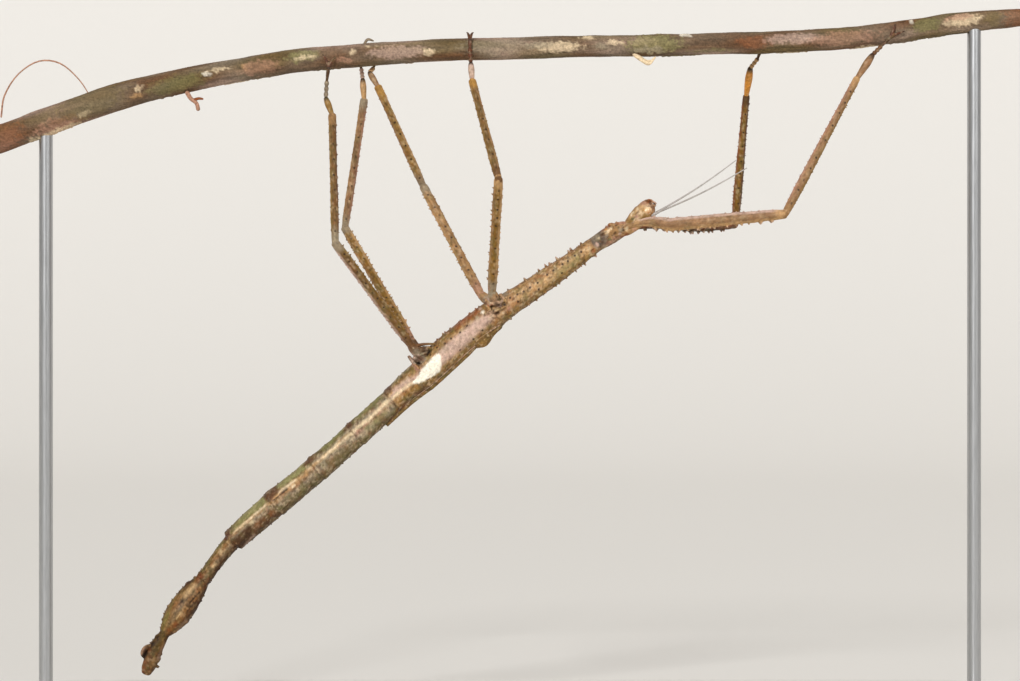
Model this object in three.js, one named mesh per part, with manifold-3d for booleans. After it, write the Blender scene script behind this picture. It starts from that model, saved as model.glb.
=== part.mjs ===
// A stick insect that hangs by its feet from a cut length of twig, on a plain display stand.
// Millimetres, +Z up. The head points to +X, the left side faces -Y and the belly faces up, to the twig.
import * as THREE from 'three';
import { mergeVertices } from 'three/addons/utils/BufferGeometryUtils.js';
import Module from 'manifold-3d';

const wasm = await Module();
wasm.setup();

// Driving dimensions, in mm.
const gap = 0.3;
const trunkSides = 12;
const limbSides = 7;
const spineHeight = 0.8;
const spineRadius = 0.32;
const spineSlant = 0.2;
const spineSink = 0.4;   // how much of a spine stands inside its limb
const toothSpan = { from: 0.12, to: 0.92 };   // the part of a limb that has spines, as shares of it
const wingSegments = [12, 4, 1];

const colours = {
  tan: 0xb08c5a,
  foreLeg: 0xc49e72,
  thorax: 0xb88e60,
  back: 0x8a7550,
  wing: 0x8d7a5c,
  eye: 0x3a2a1a,
  feeler: 0xb8b4ac,
  bark: 0x86705c,
  stand: 0xe8e4dc,
  rod: 0xb8b8b8,
};

// The trunk from head to tail. Each length starts at its point [x, z] of the centre line and has radii
// spaced evenly to its end. wide is the width over the height, and lift moves its middle to the back.
const trunk = [
  { name: 'pronotum', start: [25.5, 109.7], radii: [1.3, 1.65, 1.9, 1.95, 1.7], wide: 1.05, lift: -0.1 },
  {
    name: 'mesothorax', start: [18.7, 106.0], radii: [1.7, 1.85, 2.0, 2.2, 2.4, 2.5, 2.7, 3.1],
    wide: 1, lift: 0.55,
  },
  { name: 'metathorax', start: [-3.6, 90.7], radii: [3.1, 3.2, 3.3, 3.4, 3.4, 3.3], wide: 1, lift: -0.2 },
  { name: 'abdomen_2', start: [-19.2, 77.4], radii: [3.25, 3.05, 2.85, 2.75], wide: 1, lift: -0.1 },
  { name: 'abdomen_3', start: [-25.4, 72.0], radii: [2.75, 2.8, 2.85, 2.95], wide: 1, lift: 0.1 },
  { name: 'abdomen_4', start: [-33.3, 64.8], radii: [2.85, 2.8, 2.85, 3.0], wide: 1, lift: 0.1 },
  { name: 'abdomen_5', start: [-41.8, 57.3], radii: [2.9, 2.85, 2.95, 3.1], wide: 1, lift: 0.1 },
  { name: 'abdomen_6', start: [-50.9, 49.7], radii: [3.0, 2.85, 2.75, 2.55], wide: 1, lift: 0.1 },
  { name: 'abdomen_7', start: [-59.8, 41.7], radii: [1.9, 1.7, 1.6, 1.6], wide: 1, lift: 0 },
  {
    name: 'abdomen_8', start: [-66.2, 33.4], radii: [1.6, 2.25, 2.75, 2.85, 2.85, 2.1, 1.2],
    wide: 0.9, lift: -0.05,
  },
  { name: 'abdomen_9', start: [-74.3, 22.0], radii: [1.15, 1.45, 1.65], wide: 0.95, lift: 0 },
  { name: 'abdomen_10', start: [-76.6, 18.2], radii: [1.75, 1.85, 1.55, 0.85], wide: 0.9, lift: 0 },
];
const tailEnd = [-78.5, 13.0];

const headFront = [30.9, 114.6];
const headRadii = [0.9, 1.5, 1.95, 2.1, 2.1, 1.9, 1.3];
const eyeRadius = 0.9;
const eyePlace = [29.5, 1.5, 112.8];
const palp = { place: [31.0, 0.6, 114.6], lean: [0.75, 0.1, 0.66], radius: 0.35, length: 1.5 };
const feelerRoot = [31.2, 1.1, 112.2];
const feelerLength = 22.5;
const feelerRadii = [0.42, 0.36, 0.3, 0.27, 0.25, 0.25];
const feelerLean = { left: [0.85, -0.24, 0.42], right: [0.82, 0.24, 0.54] };

// The wings lie on the back. from and to count lengths of the trunk from its front end, and the spread is
// the angle from the middle of the back to the wing's edge, at its root and at its tip.
const wingThickness = 0.5;
const tegmen = { from: 1.92, to: 2.3, rootSpread: 40, tipSpread: 55 };
const hindWing = { from: 2.32, to: 4.4, rootSpread: 52, tipSpread: 14 };
const wingInset = 5;

// Each leg: root inside the body, hip, knee, ankle, then the joints of the foot down to its last joint,
// and the tips of its two claws.
const legs = {
  fore_left: {
    host: 'pronotum', root: [21.9, -0.9, 108.2], hip: [23.8, -2.9, 108.9], knee: [58.3, -10.6, 111.8],
    ankle: [74.4, -3.2, 141.2], foot: [[77.8, -3.1, 146.3], [79.6, -3.1, 148.1], [81.5, -3.1, 149.9]],
    claws: [[82.6, -2.9, 152.9], [84.7, -3.0, 151.4]],
  },
  fore_right: {
    host: 'pronotum', root: [21.9, 0.9, 108.2], hip: [24.2, 2.9, 109.1], knee: [50.7, 29.7, 111.2],
    ankle: [51.8, 11.4, 138.6], foot: [[52.3, 6.5, 144.3], [53.7, 4.1, 146.1], [54.3, 3.2, 148.0]],
    claws: [[54.0, 2.9, 150.6], [55.6, 2.9, 150.2]],
  },
  mid_left: {
    host: 'mesothorax', root: [-2.6, -1.4, 92.4], hip: [-3.9, -3.4, 95.4], knee: [-2.4, -15.9, 118.9],
    ankle: [-8.1, -3.8, 140.6], foot: [[-8.4, -3.2, 144.5], [-8.6, -3.2, 147.6], [-8.6, -2.8, 149.6]],
    claws: [[-9.3, -0.9, 151.3], [-7.9, -0.9, 151.3]],
  },
  mid_right: {
    host: 'mesothorax', root: [-2.9, 1.4, 92.2], hip: [-6.3, 3.4, 94.9], knee: [-18.9, 8.8, 118.6],
    ankle: [-28.4, -0.6, 139.6], foot: [[-30.3, 0.4, 142.8], [-29.6, 2.6, 143.9], [-28.9, 3.4, 146.0]],
    claws: [[-29.3, 3.1, 148.9], [-27.9, 3.1, 148.7]],
  },
  hind_left: {
    host: 'metathorax', root: [-18.2, -1.6, 80.4], hip: [-21.2, -3.9, 84.0], knee: [-36.8, -14.9, 105.5],
    ankle: [-38.1, -3.4, 133.3], foot: [[-39.5, -3.2, 137.0], [-39.3, -3.2, 140.5], [-38.9, -3.2, 143.6]],
    claws: [[-40.2, -3.1, 146.3], [-37.4, -3.1, 145.7]],
  },
  hind_right: {
    host: 'metathorax', root: [-18.6, 1.6, 80.2], hip: [-21.3, 3.9, 84.9], knee: [-36.4, 14.9, 109.8],
    ankle: [-31.6, 3.4, 137.1], foot: [[-31.9, 3.2, 141.6], [-32.2, 3.2, 143.8], [-32.6, 3.2, 145.8]],
    claws: [[-33.3, 3.1, 148.6], [-31.9, 3.1, 148.6]],
  },
};

// Thickness of the legs, as radii from the body outward.
const coxaRadii = [1.2, 1.2, 1.0, 0.8];
const legRadii = {
  fore: { femur: [0.6, 0.66, 1.35, 1.42, 1.4, 1.32, 1.2, 0.8], tibia: [0.7, 1.0, 0.95, 0.85, 0.78, 0.72] },
  mid: { femur: [0.8, 1.1, 1.02, 1.0, 1.0, 1.05, 0.8], tibia: [0.65, 0.95, 0.88, 0.85, 0.8, 0.85] },
  hind: { femur: [0.8, 1.1, 1.02, 1.0, 1.0, 1.05, 0.8], tibia: [0.65, 0.9, 0.85, 0.82, 0.8, 0.85] },
};
const footRadii = { fore: [0.55, 0.75, 0.95, 0.55], mid: [0.5, 0.72, 0.5], hind: [0.5, 0.72, 0.5] };
const toeRadii = [0.38, 0.5, 0.42];
const clawRadii = [0.3, 0.25, 0.25];
const kneeRadius = 0.85;
const femurSpines = 7;
const tibiaSpines = 6;
const foreFemurBow = { at: 0.15, by: 1.0 };

// The twig runs along X at Y = 0. Its points are [x, z, radius].
const twigPoints = [
  [-112.0, 127.7, 3.1],
  [-84.0, 137.6, 2.9],
  [-58.2, 143.4, 2.65],
  [-32.3, 146.5, 2.5],
  [0, 148.0, 2.4],
  [36.6, 148.7, 2.4],
  [71.1, 150.1, 2.4],
  [97.0, 153.4, 2.3],
  [112.9, 154.8, 1.9],
];
const twigSides = 11;
const twigSteps = 32;

// The stand: a flat base, and a rod under each end of the twig.
const base = { length: 212, width: 90, height: 7, corner: 8 };
const rodRadius = 1.5;
const rodPlace = 100;

function vector([x, y, z]) {
  return new THREE.Vector3(x, y, z);
}

// Solids for the joins and cuts.

function toSolid(geometry) {
  const bare = geometry.clone();
  bare.deleteAttribute('normal');
  bare.deleteAttribute('uv');
  const merged = mergeVertices(bare, 1e-4);
  const corners = [];
  for (let i = 0; i < merged.index.count; i += 3) {
    const [a, b, c] = [0, 1, 2].map((k) => merged.index.getX(i + k));
    if (a !== b && b !== c && c !== a) {
      corners.push(a, b, c);
    }
  }
  const vertProperties = new Float32Array(merged.attributes.position.array);
  return new wasm.Manifold(new wasm.Mesh({ numProp: 3, vertProperties, triVerts: new Uint32Array(corners) }));
}

function toGeometry(solid) {
  const mesh = solid.getMesh();
  const geometry = new THREE.BufferGeometry();
  geometry.setAttribute('position', new THREE.BufferAttribute(new Float32Array(mesh.vertProperties), 3));
  geometry.setIndex(new THREE.BufferAttribute(new Uint32Array(mesh.triVerts), 1));
  geometry.computeVertexNormals();
  return geometry;
}

function join(geometries) {
  const solids = geometries.map(toSolid);
  return toGeometry(solids.slice(1).reduce((whole, piece) => whole.add(piece), solids[0]));
}

function cut(geometry, tools) {
  return toGeometry(tools.reduce((rest, tool) => rest.subtract(toSolid(tool)), toSolid(geometry)));
}

// A closed round body along +Y, with its radii spaced evenly between start and end.
function turned(radii, start, end, sides) {
  const step = (end - start) / (radii.length - 1);
  const points = radii.map((radius, i) => new THREE.Vector2(radius, start + i * step));
  points.unshift(new THREE.Vector2(0, start));
  points.push(new THREE.Vector2(0, end));
  return new THREE.LatheGeometry(points, sides);
}

// A cone with its middle at place, pointing along out.
function spike(radius, height, sides, out, place) {
  const cone = new THREE.ConeGeometry(radius, height, sides);
  const up = new THREE.Vector3(0, 1, 0);
  cone.applyQuaternion(new THREE.Quaternion().setFromUnitVectors(up, out.clone().normalize()));
  return cone.translate(place.x, place.y, place.z);
}

function radiusAt(radii, share) {
  const place = THREE.MathUtils.clamp(share, 0, 1) * (radii.length - 1);
  const i = Math.min(Math.floor(place), radii.length - 2);
  return THREE.MathUtils.lerp(radii[i], radii[i + 1], place - i);
}

// Moves every vertex of a geometry to the place that move(point) gives.
function reshape(geometry, move) {
  const position = geometry.attributes.position;
  const point = new THREE.Vector3();
  for (let i = 0; i < position.count; i += 1) {
    point.fromBufferAttribute(position, i);
    const moved = move(point);
    position.setXYZ(i, moved.x, moved.y, moved.z);
  }
  geometry.computeVertexNormals();
  return geometry;
}

function makeMesh(name, geometry, colour, roughness = 0.6, metalness = 0) {
  const material = new THREE.MeshStandardMaterial({ color: colour, roughness, metalness });
  const mesh = new THREE.Mesh(geometry, material);
  mesh.name = name;
  return mesh;
}

// The trunk.

const centreLine = new THREE.CatmullRomCurve3(
  [...trunk.map((length) => length.start), tailEnd].map(([x, z]) => new THREE.Vector3(x, 0, z)),
);
const left = new THREE.Vector3(0, -1, 0);

// The centre, the direction to the back and the radius at a place, in lengths of the trunk from the front.
function trunkSection(place) {
  const share = THREE.MathUtils.clamp(place / trunk.length, 0, 1);
  const length = trunk[Math.min(Math.floor(place), trunk.length - 1)];
  const along = centreLine.getTangent(share);
  const back = new THREE.Vector3(-along.z, 0, along.x);
  const inLength = place - trunk.indexOf(length);
  const centre = centreLine.getPoint(share).addScaledVector(back, length.lift * Math.sin(Math.PI * inLength));
  return { centre, back, radius: radiusAt(length.radii, inLength), wide: length.wide };
}

// One length of the trunk, bent to the centre line. extra thickens it, to cut its neighbours clear of it.
function trunkGeometry(index, extra = 0) {
  const { radii, wide, start } = trunk[index];
  const next = index + 1 < trunk.length ? trunk[index + 1].start : tailEnd;
  const size = Math.hypot(next[0] - start[0], next[1] - start[1]);
  const inset = extra > 0 ? 0 : gap / 2;
  const straight = turned(radii.map((radius) => radius + extra), inset, size - inset, trunkSides);
  return reshape(straight, (point) => {
    const section = trunkSection(Math.min(index + point.y / size, index + 0.9999));
    return section.centre.addScaledVector(section.back, point.z).addScaledVector(left, point.x * wide);
  });
}

// Pairs of spines along one length of the trunk, in two rows that lie at an angle from the middle of the
// back. They stop at a share of the length.
function trunkSpines(index, { count, angle, reach }) {
  const spines = [];
  for (const side of [-1, 1]) {
    for (let i = 0; i < count; i += 1) {
      const section = trunkSection(index + (reach * (i + 0.7)) / (count + 0.4));   // clear of both ends
      const out = section.back.clone().multiplyScalar(Math.cos(angle));
      out.addScaledVector(left, side * Math.sin(angle));
      const height = section.radius + (spineHeight - spineSink) / 2 - 0.1;
      const middle = section.centre.clone().addScaledVector(out, height);
      spines.push(spike(spineRadius, spineHeight + spineSink, 4, out, middle));
    }
  }
  return spines;
}

// The genital opening on the belly side of the last length, and the pair of feelers at its end.
const tailOpening = { place: [-79.1, 0, 15.7], radius: 0.55, width: 6 };
const tailLobe = { place: [-78.9, 0, 17.7], radius: 0.95 };
const cercus = { place: [-75.6, 0.7, 16.9], lean: [0.7, 0.3, 0.1], radius: 0.4, length: 1.8 };

function tailGeometry(geometry) {
  const opening = new THREE.CylinderGeometry(tailOpening.radius, tailOpening.radius, tailOpening.width, 8);
  opening.translate(...tailOpening.place);
  const cerci = [-1, 1].map((side) => {
    const mirror = new THREE.Vector3(1, side, 1);
    const [place, lean] = [cercus.place, cercus.lean].map((numbers) => vector(numbers).multiply(mirror));
    return spike(cercus.radius, cercus.length, 5, lean, place);
  });
  const lobe = new THREE.SphereGeometry(tailLobe.radius, 8, 6).translate(...tailLobe.place);
  return cut(join([geometry, lobe, ...cerci]), [opening]);
}

const insect = new THREE.Group();

function addTrunk() {
  const spineRows = {
    pronotum: [{ count: 2, angle: 2.5, reach: 1 }],
    mesothorax: [{ count: 7, angle: 0.6, reach: 0.82 }, { count: 8, angle: 2.5, reach: 0.95 }],
    metathorax: [{ count: 3, angle: 2.5, reach: 0.7 }],
  };
  const shade = (name) => (name.endsWith('thorax') || name === 'pronotum' ? colours.thorax : colours.back);
  trunk.forEach(({ name, start }, index) => {
    let geometry = trunkGeometry(index);
    if (spineRows[name]) {
      geometry = join([geometry, ...spineRows[name].flatMap((row) => trunkSpines(index, row))]);
    }
    if (name === 'abdomen_10') {
      geometry = tailGeometry(geometry);
    }
    const mesh = makeMesh(name, geometry.translate(-start[0], 0, -start[1]), shade(name));
    mesh.position.set(start[0], 0, start[1]);
    insect.add(mesh);
  });
}

// The wings: a slab bent over the back, from its inner edge to its outer one.
function wingGeometry({ from, to, rootSpread, tipSpread }, side) {
  const slab = new THREE.BoxGeometry(1, 1, 1, ...wingSegments);
  return reshape(slab, (point) => {
    const share = 0.5 - side * point.x;
    const section = trunkSection(THREE.MathUtils.lerp(from, to, share));
    const spread = THREE.MathUtils.lerp(rootSpread, tipSpread, share ** 2);
    const angle = THREE.MathUtils.degToRad(THREE.MathUtils.lerp(wingInset, spread, point.y + 0.5));
    const radius = section.radius + gap + 0.05 + (point.z + 0.5) * wingThickness;
    return section.centre
      .addScaledVector(section.back, radius * Math.cos(angle))
      .addScaledVector(left, side * section.wide * radius * Math.sin(angle));
  });
}

function addWings() {
  for (const [end, side] of [['left', 1], ['right', -1]]) {
    for (const [kind, shape] of [['tegmen', tegmen], ['hind_wing', hindWing]]) {
      insect.add(makeMesh(`${kind}_${end}`, wingGeometry(shape, side), colours.wing, 0.5));
    }
  }
}

// A limb from one joint to the next. Its mesh stands at the first joint, with +Y along the limb and +X
// towards its upper edge. Spines stand in a row on each edge.
function limb(name, from, to, radii, { trims = [gap / 2, gap / 2], spines = 0, bow = null, colour }) {
  const length = from.distanceTo(to);
  const along = to.clone().sub(from).normalize();
  const edge = along.clone().cross(new THREE.Vector3(0, 1, 0)).normalize();
  const face = edge.clone().cross(along);
  const span = [trims[0], length - trims[1]];
  let geometry = turned(radii, ...span, limbSides);
  const teeth = [];
  for (const side of [-1, 1]) {
    for (let i = 0; i < spines; i += 1) {
      const stagger = (side + 1) / 4;
      const share = THREE.MathUtils.lerp(toothSpan.from, toothSpan.to, (i + stagger) / spines);
      const radius = radiusAt(radii, share);
      const middle = new THREE.Vector3(side * (radius + 0.1), THREE.MathUtils.lerp(...span, share), 0);
      teeth.push(spike(spineRadius, spineHeight + 0.3, 3, new THREE.Vector3(side, spineSlant, 0), middle));
    }
  }
  if (teeth.length > 0) {
    geometry = join([geometry, ...teeth]);
  }
  if (bow) {
    geometry = reshape(geometry, (point) => {
      const share = THREE.MathUtils.clamp(point.y / length / (2 * bow.at), 0, 1);
      return point.setX(point.x + bow.by * Math.sin(Math.PI * share));
    });
  }
  const mesh = makeMesh(name, geometry, colour);
  mesh.quaternion.setFromRotationMatrix(new THREE.Matrix4().makeBasis(edge, along, face));
  mesh.position.copy(from);
  return mesh;
}

// The geometry of a mesh, moved to where the mesh stands.
function placed(mesh) {
  mesh.updateMatrix();
  return mesh.geometry.clone().applyMatrix4(mesh.matrix);
}

function coxa(name, leg, colour) {
  const whole = limb(name, vector(leg.root), vector(leg.hip), coxaRadii, { trims: [0, gap / 2], colour });
  const host = trunk.findIndex((length) => length.name === leg.host);
  const bodies = [host, host + 1].map((index) => trunkGeometry(index, gap));
  const geometry = cut(placed(whole), bodies);
  const mesh = makeMesh(name, geometry.translate(...leg.root.map((value) => -value)), colour);
  mesh.position.set(...leg.root);
  return mesh;
}

function foot(name, leg, basalRadii, colour) {
  const joints = [leg.ankle, ...leg.foot].map(vector);
  const pieces = joints.slice(1).map((joint, i) => {
    const radii = i === 0 ? basalRadii : toeRadii;
    return placed(limb(name, joints[i], joint, radii, { trims: [i === 0 ? gap : -0.15, -0.15], colour }));
  });
  const last = joints[joints.length - 1];
  const whole = { trims: [0, 0], colour };
  const claws = leg.claws.map((tip) => placed(limb(name, last, vector(tip), clawRadii, whole)));
  const mesh = makeMesh(name, join([...pieces, ...claws]).translate(-last.x, -last.y, -last.z), colour);
  mesh.position.copy(last);
  return mesh;
}

function addLegs() {
  for (const [place, leg] of Object.entries(legs)) {
    const pair = place.split('_')[0];
    const colour = pair === 'fore' ? colours.foreLeg : colours.tan;
    const { femur, tibia } = legRadii[pair];
    const [hip, knee, ankle] = [leg.hip, leg.knee, leg.ankle].map(vector);
    const bend = hip.clone().sub(knee).angleTo(ankle.clone().sub(knee));
    const kneeTrim = kneeRadius / Math.tan(bend / 2) + gap;
    const thigh = { trims: [gap / 2 + 0.1, kneeTrim], spines: femurSpines, colour };
    if (pair === 'fore') {
      thigh.bow = foreFemurBow;
    }
    insect.add(
      coxa(`coxa_${place}`, leg, colour),
      limb(`femur_${place}`, hip, knee, femur, thigh),
      limb(`tibia_${place}`, knee, ankle, tibia, { trims: [kneeTrim, gap], spines: tibiaSpines, colour }),
      foot(`tarsus_${place}`, leg, footRadii[pair], colour),
    );
  }
}

// The head, its eyes and its feelers.

function addHead() {
  const neck = new THREE.Vector3(trunk[0].start[0], 0, trunk[0].start[1]);
  const front = new THREE.Vector3(headFront[0], 0, headFront[1]);
  const whole = limb('head', neck, front, headRadii, { trims: [gap / 2, 0], colour: colours.thorax });
  const eyes = [-1, 1].map((side) => {
    const ball = new THREE.SphereGeometry(eyeRadius, 10, 6);
    return { side, ball, place: [eyePlace[0], side * eyePlace[1], eyePlace[2]] };
  });
  const palps = [-1, 1].map((side) => {
    const mirror = new THREE.Vector3(1, side, 1);
    const [place, lean] = [palp.place, palp.lean].map((numbers) => vector(numbers).multiply(mirror));
    return spike(palp.radius, palp.length, 5, lean, place);
  });
  const sockets = eyes.map(({ place }) => {
    const socket = new THREE.SphereGeometry(eyeRadius + gap, 10, 6);
    return socket.translate(...place);
  });
  const geometry = cut(join([placed(whole), ...palps]), sockets);
  const head = makeMesh('head', geometry.translate(-neck.x, 0, -neck.z), colours.thorax);
  head.position.copy(neck);
  insect.add(head);
  for (const { side, ball, place } of eyes) {
    const end = side < 0 ? 'left' : 'right';
    const eye = makeMesh(`eye_${end}`, ball, colours.eye, 0.2);
    eye.position.set(...place);
    const root = new THREE.Vector3(feelerRoot[0], side * feelerRoot[1], feelerRoot[2]);
    const tip = root.clone().addScaledVector(vector(feelerLean[end]).normalize(), feelerLength);
    const feeler = { trims: [gap, 0], colour: colours.feeler };
    insect.add(eye, limb(`antenna_${end}`, root, tip, feelerRadii, feeler));
  }
}

// The twig and its stand.

const twigLine = new THREE.CatmullRomCurve3(twigPoints.map(([x, z]) => new THREE.Vector3(x, 0, z)));
const twigRadii = twigPoints.map((point) => point[2]);

function twigGeometry(extra = 0) {
  const rings = Array.from({ length: twigSteps + 1 }, (_, i) => radiusAt(twigRadii, i / twigSteps) + extra);
  return reshape(turned(rings, 0, 1, twigSides), (point) => {
    const along = twigLine.getTangent(point.y);
    const up = new THREE.Vector3(-along.z, 0, along.x);
    return twigLine.getPoint(point.y).addScaledVector(up, point.x).add(new THREE.Vector3(0, point.z, 0));
  });
}

// The height of the twig's middle at a place along X.
function twigHeight(x) {
  let [low, high] = [0, 1];
  for (let i = 0; i < 20; i += 1) {
    const middle = (low + high) / 2;
    [low, high] = twigLine.getPoint(middle).x < x ? [middle, high] : [low, middle];
  }
  return twigLine.getPoint(low).z;
}

function addStand(group) {
  group.add(makeMesh('perch_twig', twigGeometry(), colours.bark, 0.85));
  const half = [base.length / 2 - base.corner, base.width / 2 - base.corner];
  const outline = new THREE.Shape();
  outline.absarc(half[0], half[1], base.corner, 0, Math.PI / 2);
  outline.absarc(-half[0], half[1], base.corner, Math.PI / 2, Math.PI);
  outline.absarc(-half[0], -half[1], base.corner, Math.PI, Math.PI * 1.5);
  outline.absarc(half[0], -half[1], base.corner, Math.PI * 1.5, Math.PI * 2);
  const slabShape = { depth: base.height, bevelEnabled: false, curveSegments: 4 };
  const slab = new THREE.ExtrudeGeometry(outline, slabShape);
  group.add(makeMesh('stand_base', slab, colours.stand, 0.5));
  for (const [end, x] of [['left', -rodPlace], ['right', rodPlace]]) {
    const foot = base.height + gap;
    const rod = turned([rodRadius, rodRadius], foot, twigHeight(x), 12);
    rod.rotateX(Math.PI / 2).translate(x, 0, 0);
    const geometry = cut(rod, [twigGeometry(gap)]);
    const mesh = makeMesh(`stand_rod_${end}`, geometry.translate(-x, 0, -foot), colours.rod, 0.3, 0.9);
    mesh.position.set(x, 0, foot);
    group.add(mesh);
  }
}

addTrunk();
addWings();
addHead();
addLegs();

const group = new THREE.Group();
group.add(insect);
addStand(group);

export default group;
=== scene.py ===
import math
import random

import bpy
import numpy as np
from mathutils import Matrix, Vector, noise


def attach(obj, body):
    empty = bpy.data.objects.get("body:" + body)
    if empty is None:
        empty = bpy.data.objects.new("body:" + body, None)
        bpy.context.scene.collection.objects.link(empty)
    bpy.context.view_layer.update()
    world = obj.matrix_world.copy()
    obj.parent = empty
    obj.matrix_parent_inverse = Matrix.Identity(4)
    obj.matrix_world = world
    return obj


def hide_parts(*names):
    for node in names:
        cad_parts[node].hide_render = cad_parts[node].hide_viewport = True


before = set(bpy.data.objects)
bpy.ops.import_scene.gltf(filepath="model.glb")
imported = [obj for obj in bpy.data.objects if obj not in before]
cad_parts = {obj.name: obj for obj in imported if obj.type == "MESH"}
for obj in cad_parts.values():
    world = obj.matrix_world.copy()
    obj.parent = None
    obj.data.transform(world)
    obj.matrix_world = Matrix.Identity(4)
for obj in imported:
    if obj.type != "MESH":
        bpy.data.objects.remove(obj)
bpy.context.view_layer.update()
mm = 0.001
chance = random.Random(7)
bothSides = (("left", -1), ("right", 1))


# Small helpers.

def hexColour(code):
    parts = [int(code[i:i + 2], 16) / 255 for i in (1, 3, 5)]
    linear = [c / 12.92 if c <= 0.04045 else ((c + 0.055) / 1.055) ** 2.4 for c in parts]
    return (*linear, 1.0)


def addNode(tree, kind, settings=None, inputs=None):
    node = tree.nodes.new("ShaderNode" + kind)
    for key, value in (settings or {}).items():
        setattr(node, key, value)
    for key, value in (inputs or {}).items():
        if isinstance(value, bpy.types.NodeSocket):
            tree.links.new(value, node.inputs[key])
        else:
            node.inputs[key].default_value = value
    return node


def newMaterial(name):
    material = bpy.data.materials.new(name)
    material.use_nodes = True
    material.node_tree.nodes.clear()
    return material, material.node_tree


def clearSelection():
    if bpy.context.object and bpy.context.object.mode != "OBJECT":
        bpy.ops.object.mode_set(mode="OBJECT")
    bpy.ops.object.select_all(action="DESELECT")


def pick(piece):
    clearSelection()
    piece.select_set(True)
    bpy.context.view_layer.objects.active = piece


def keepName(name):
    piece = bpy.context.object
    piece.name = name
    piece.data.name = name
    return piece


def applyModifier(piece, kind, **settings):
    pick(piece)
    modifier = piece.modifiers.new(kind.lower(), kind)
    for key, value in settings.items():
        setattr(modifier, key, value)
    bpy.ops.object.modifier_apply(modifier=modifier.name)


def smoothForm(piece, levels):
    applyModifier(piece, "SUBSURF", levels=levels, render_levels=levels)


def shadeSmooth(piece, angle=60):
    pick(piece)
    bpy.ops.object.shade_smooth_by_angle(angle=math.radians(angle))


def pointsOf(piece):
    points = np.empty(len(piece.data.vertices) * 3)
    piece.data.vertices.foreach_get("co", points)
    return points.reshape(-1, 3) / mm


def movePoints(piece, points):
    piece.data.vertices.foreach_set("co", (points * mm).ravel())
    piece.data.update()


def joinPieces(name, pieces):
    clearSelection()
    for piece in pieces:
        piece.select_set(True)
    bpy.context.view_layer.objects.active = pieces[0]
    bpy.ops.object.join()
    return keepName(name)


def faceOut(piece):
    pick(piece)
    bpy.ops.object.mode_set(mode="EDIT")
    bpy.ops.mesh.select_all(action="SELECT")
    bpy.ops.mesh.remove_doubles(threshold=1e-7)
    bpy.ops.mesh.normals_make_consistent(inside=False)
    bpy.ops.object.mode_set(mode="OBJECT")


def dress(piece, material):
    piece.data.materials.clear()
    piece.data.materials.append(material)


# The last steps of a piece: smooth shading below an angle, its material, and what the frame is told of it.
def finishPiece(piece, smooth, material, slot, *nodes):
    if smooth:
        shadeSmooth(piece, smooth)
    dress(piece, material)
    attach(piece, "root")
    if nodes:
        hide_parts(*nodes)


# The colours of the animal and the twig, by the names that the markings below use.
palette = {
    "white": "#f1e8d5", "cream": "#e3cba6", "sand": "#ba9263", "tan": "#9f794f", "honey": "#b08240",
    "ochre": "#8c6a36", "olive": "#6a5b33", "moss": "#736f41", "leaf": "#868152", "deepGreen": "#565330",
    "rust": "#864b27", "orange": "#cf8a35", "brown": "#68462a", "umber": "#4a321d", "dark": "#2a1c14",
    "lilac": "#c4a594", "pink": "#ac8068", "ash": "#958770", "grey": "#82735f", "slate": "#5f5045",
    "amber": "#7f5c22", "fawn": "#94704e", "maroon": "#573524", "walnut": "#71532c",
}
colours = {name: np.array(hexColour(code)[:3]) for name, code in palette.items()}


def mixColours(first, second, share):
    share = np.clip(np.asarray(share, float), 0, 1)[..., None]
    return first * (1 - share) + second * share


# Lays named colours over the shades one after another, each by its share.
def layColours(shades, *layers):
    for name, share in layers:
        shades = mixColours(shades, colours[name], share)
    return shades


def smoothStep(low, high, values):
    share = np.clip((values - low) / (high - low), 0, 1)
    return share * share * (3 - 2 * share)


def bell(values, middle, width):
    return np.exp(-((values - middle) / width) ** 2)


# Soft lumps of noise at each point, from about -1 to 1. The size is in mm.
def lumps(points, size, seed):
    shift = Vector((seed * 31.7, seed * 17.3, 0))
    return np.array([noise.noise(Vector(point) / size + shift) for point in points])


# Lumps of several sizes added up, from rows of height, size and seed.
def unevenness(points, rows, start=0):
    return sum((height * lumps(points, size, seed) for height, size, seed in rows), start)


def paintPoints(piece, shades):
    rows = np.ones((len(shades), 4))
    rows[:, :3] = np.clip(shades, 0, 1)
    layer = piece.data.attributes.new("paint", "FLOAT_COLOR", "POINT")
    layer.data.foreach_set("color", rows.ravel())


def markPoints(piece, values, name):
    layer = piece.data.attributes.new(name, "FLOAT", "POINT")
    layer.data.foreach_set("value", np.asarray(values, float))


# Pieces without pits are marked as far from any.
def leaveUnpitted(piece):
    markPoints(piece, np.full(len(piece.data.vertices), 9.0), "dot")


def copyPiece(piece, matrix):
    twin = piece.copy()
    twin.data = piece.data.copy()
    twin.data.transform(matrix)
    bpy.context.collection.objects.link(twin)
    return twin


# The turn that lays +Z along a direction, with +X near +Y.
def frameAlong(place, direction, size):
    side = Vector((0, 1, 0))
    ahead = Vector(direction).normalized()
    across = side - ahead * side.dot(ahead)
    if across.length < 1e-6:
        across = ahead.orthogonal()
    across.normalize()
    turn = Matrix((across, ahead.cross(across), ahead)).transposed().to_4x4()
    return Matrix.Translation(Vector(place) * mm) @ turn @ Matrix.Diagonal((*size, 1))


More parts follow.
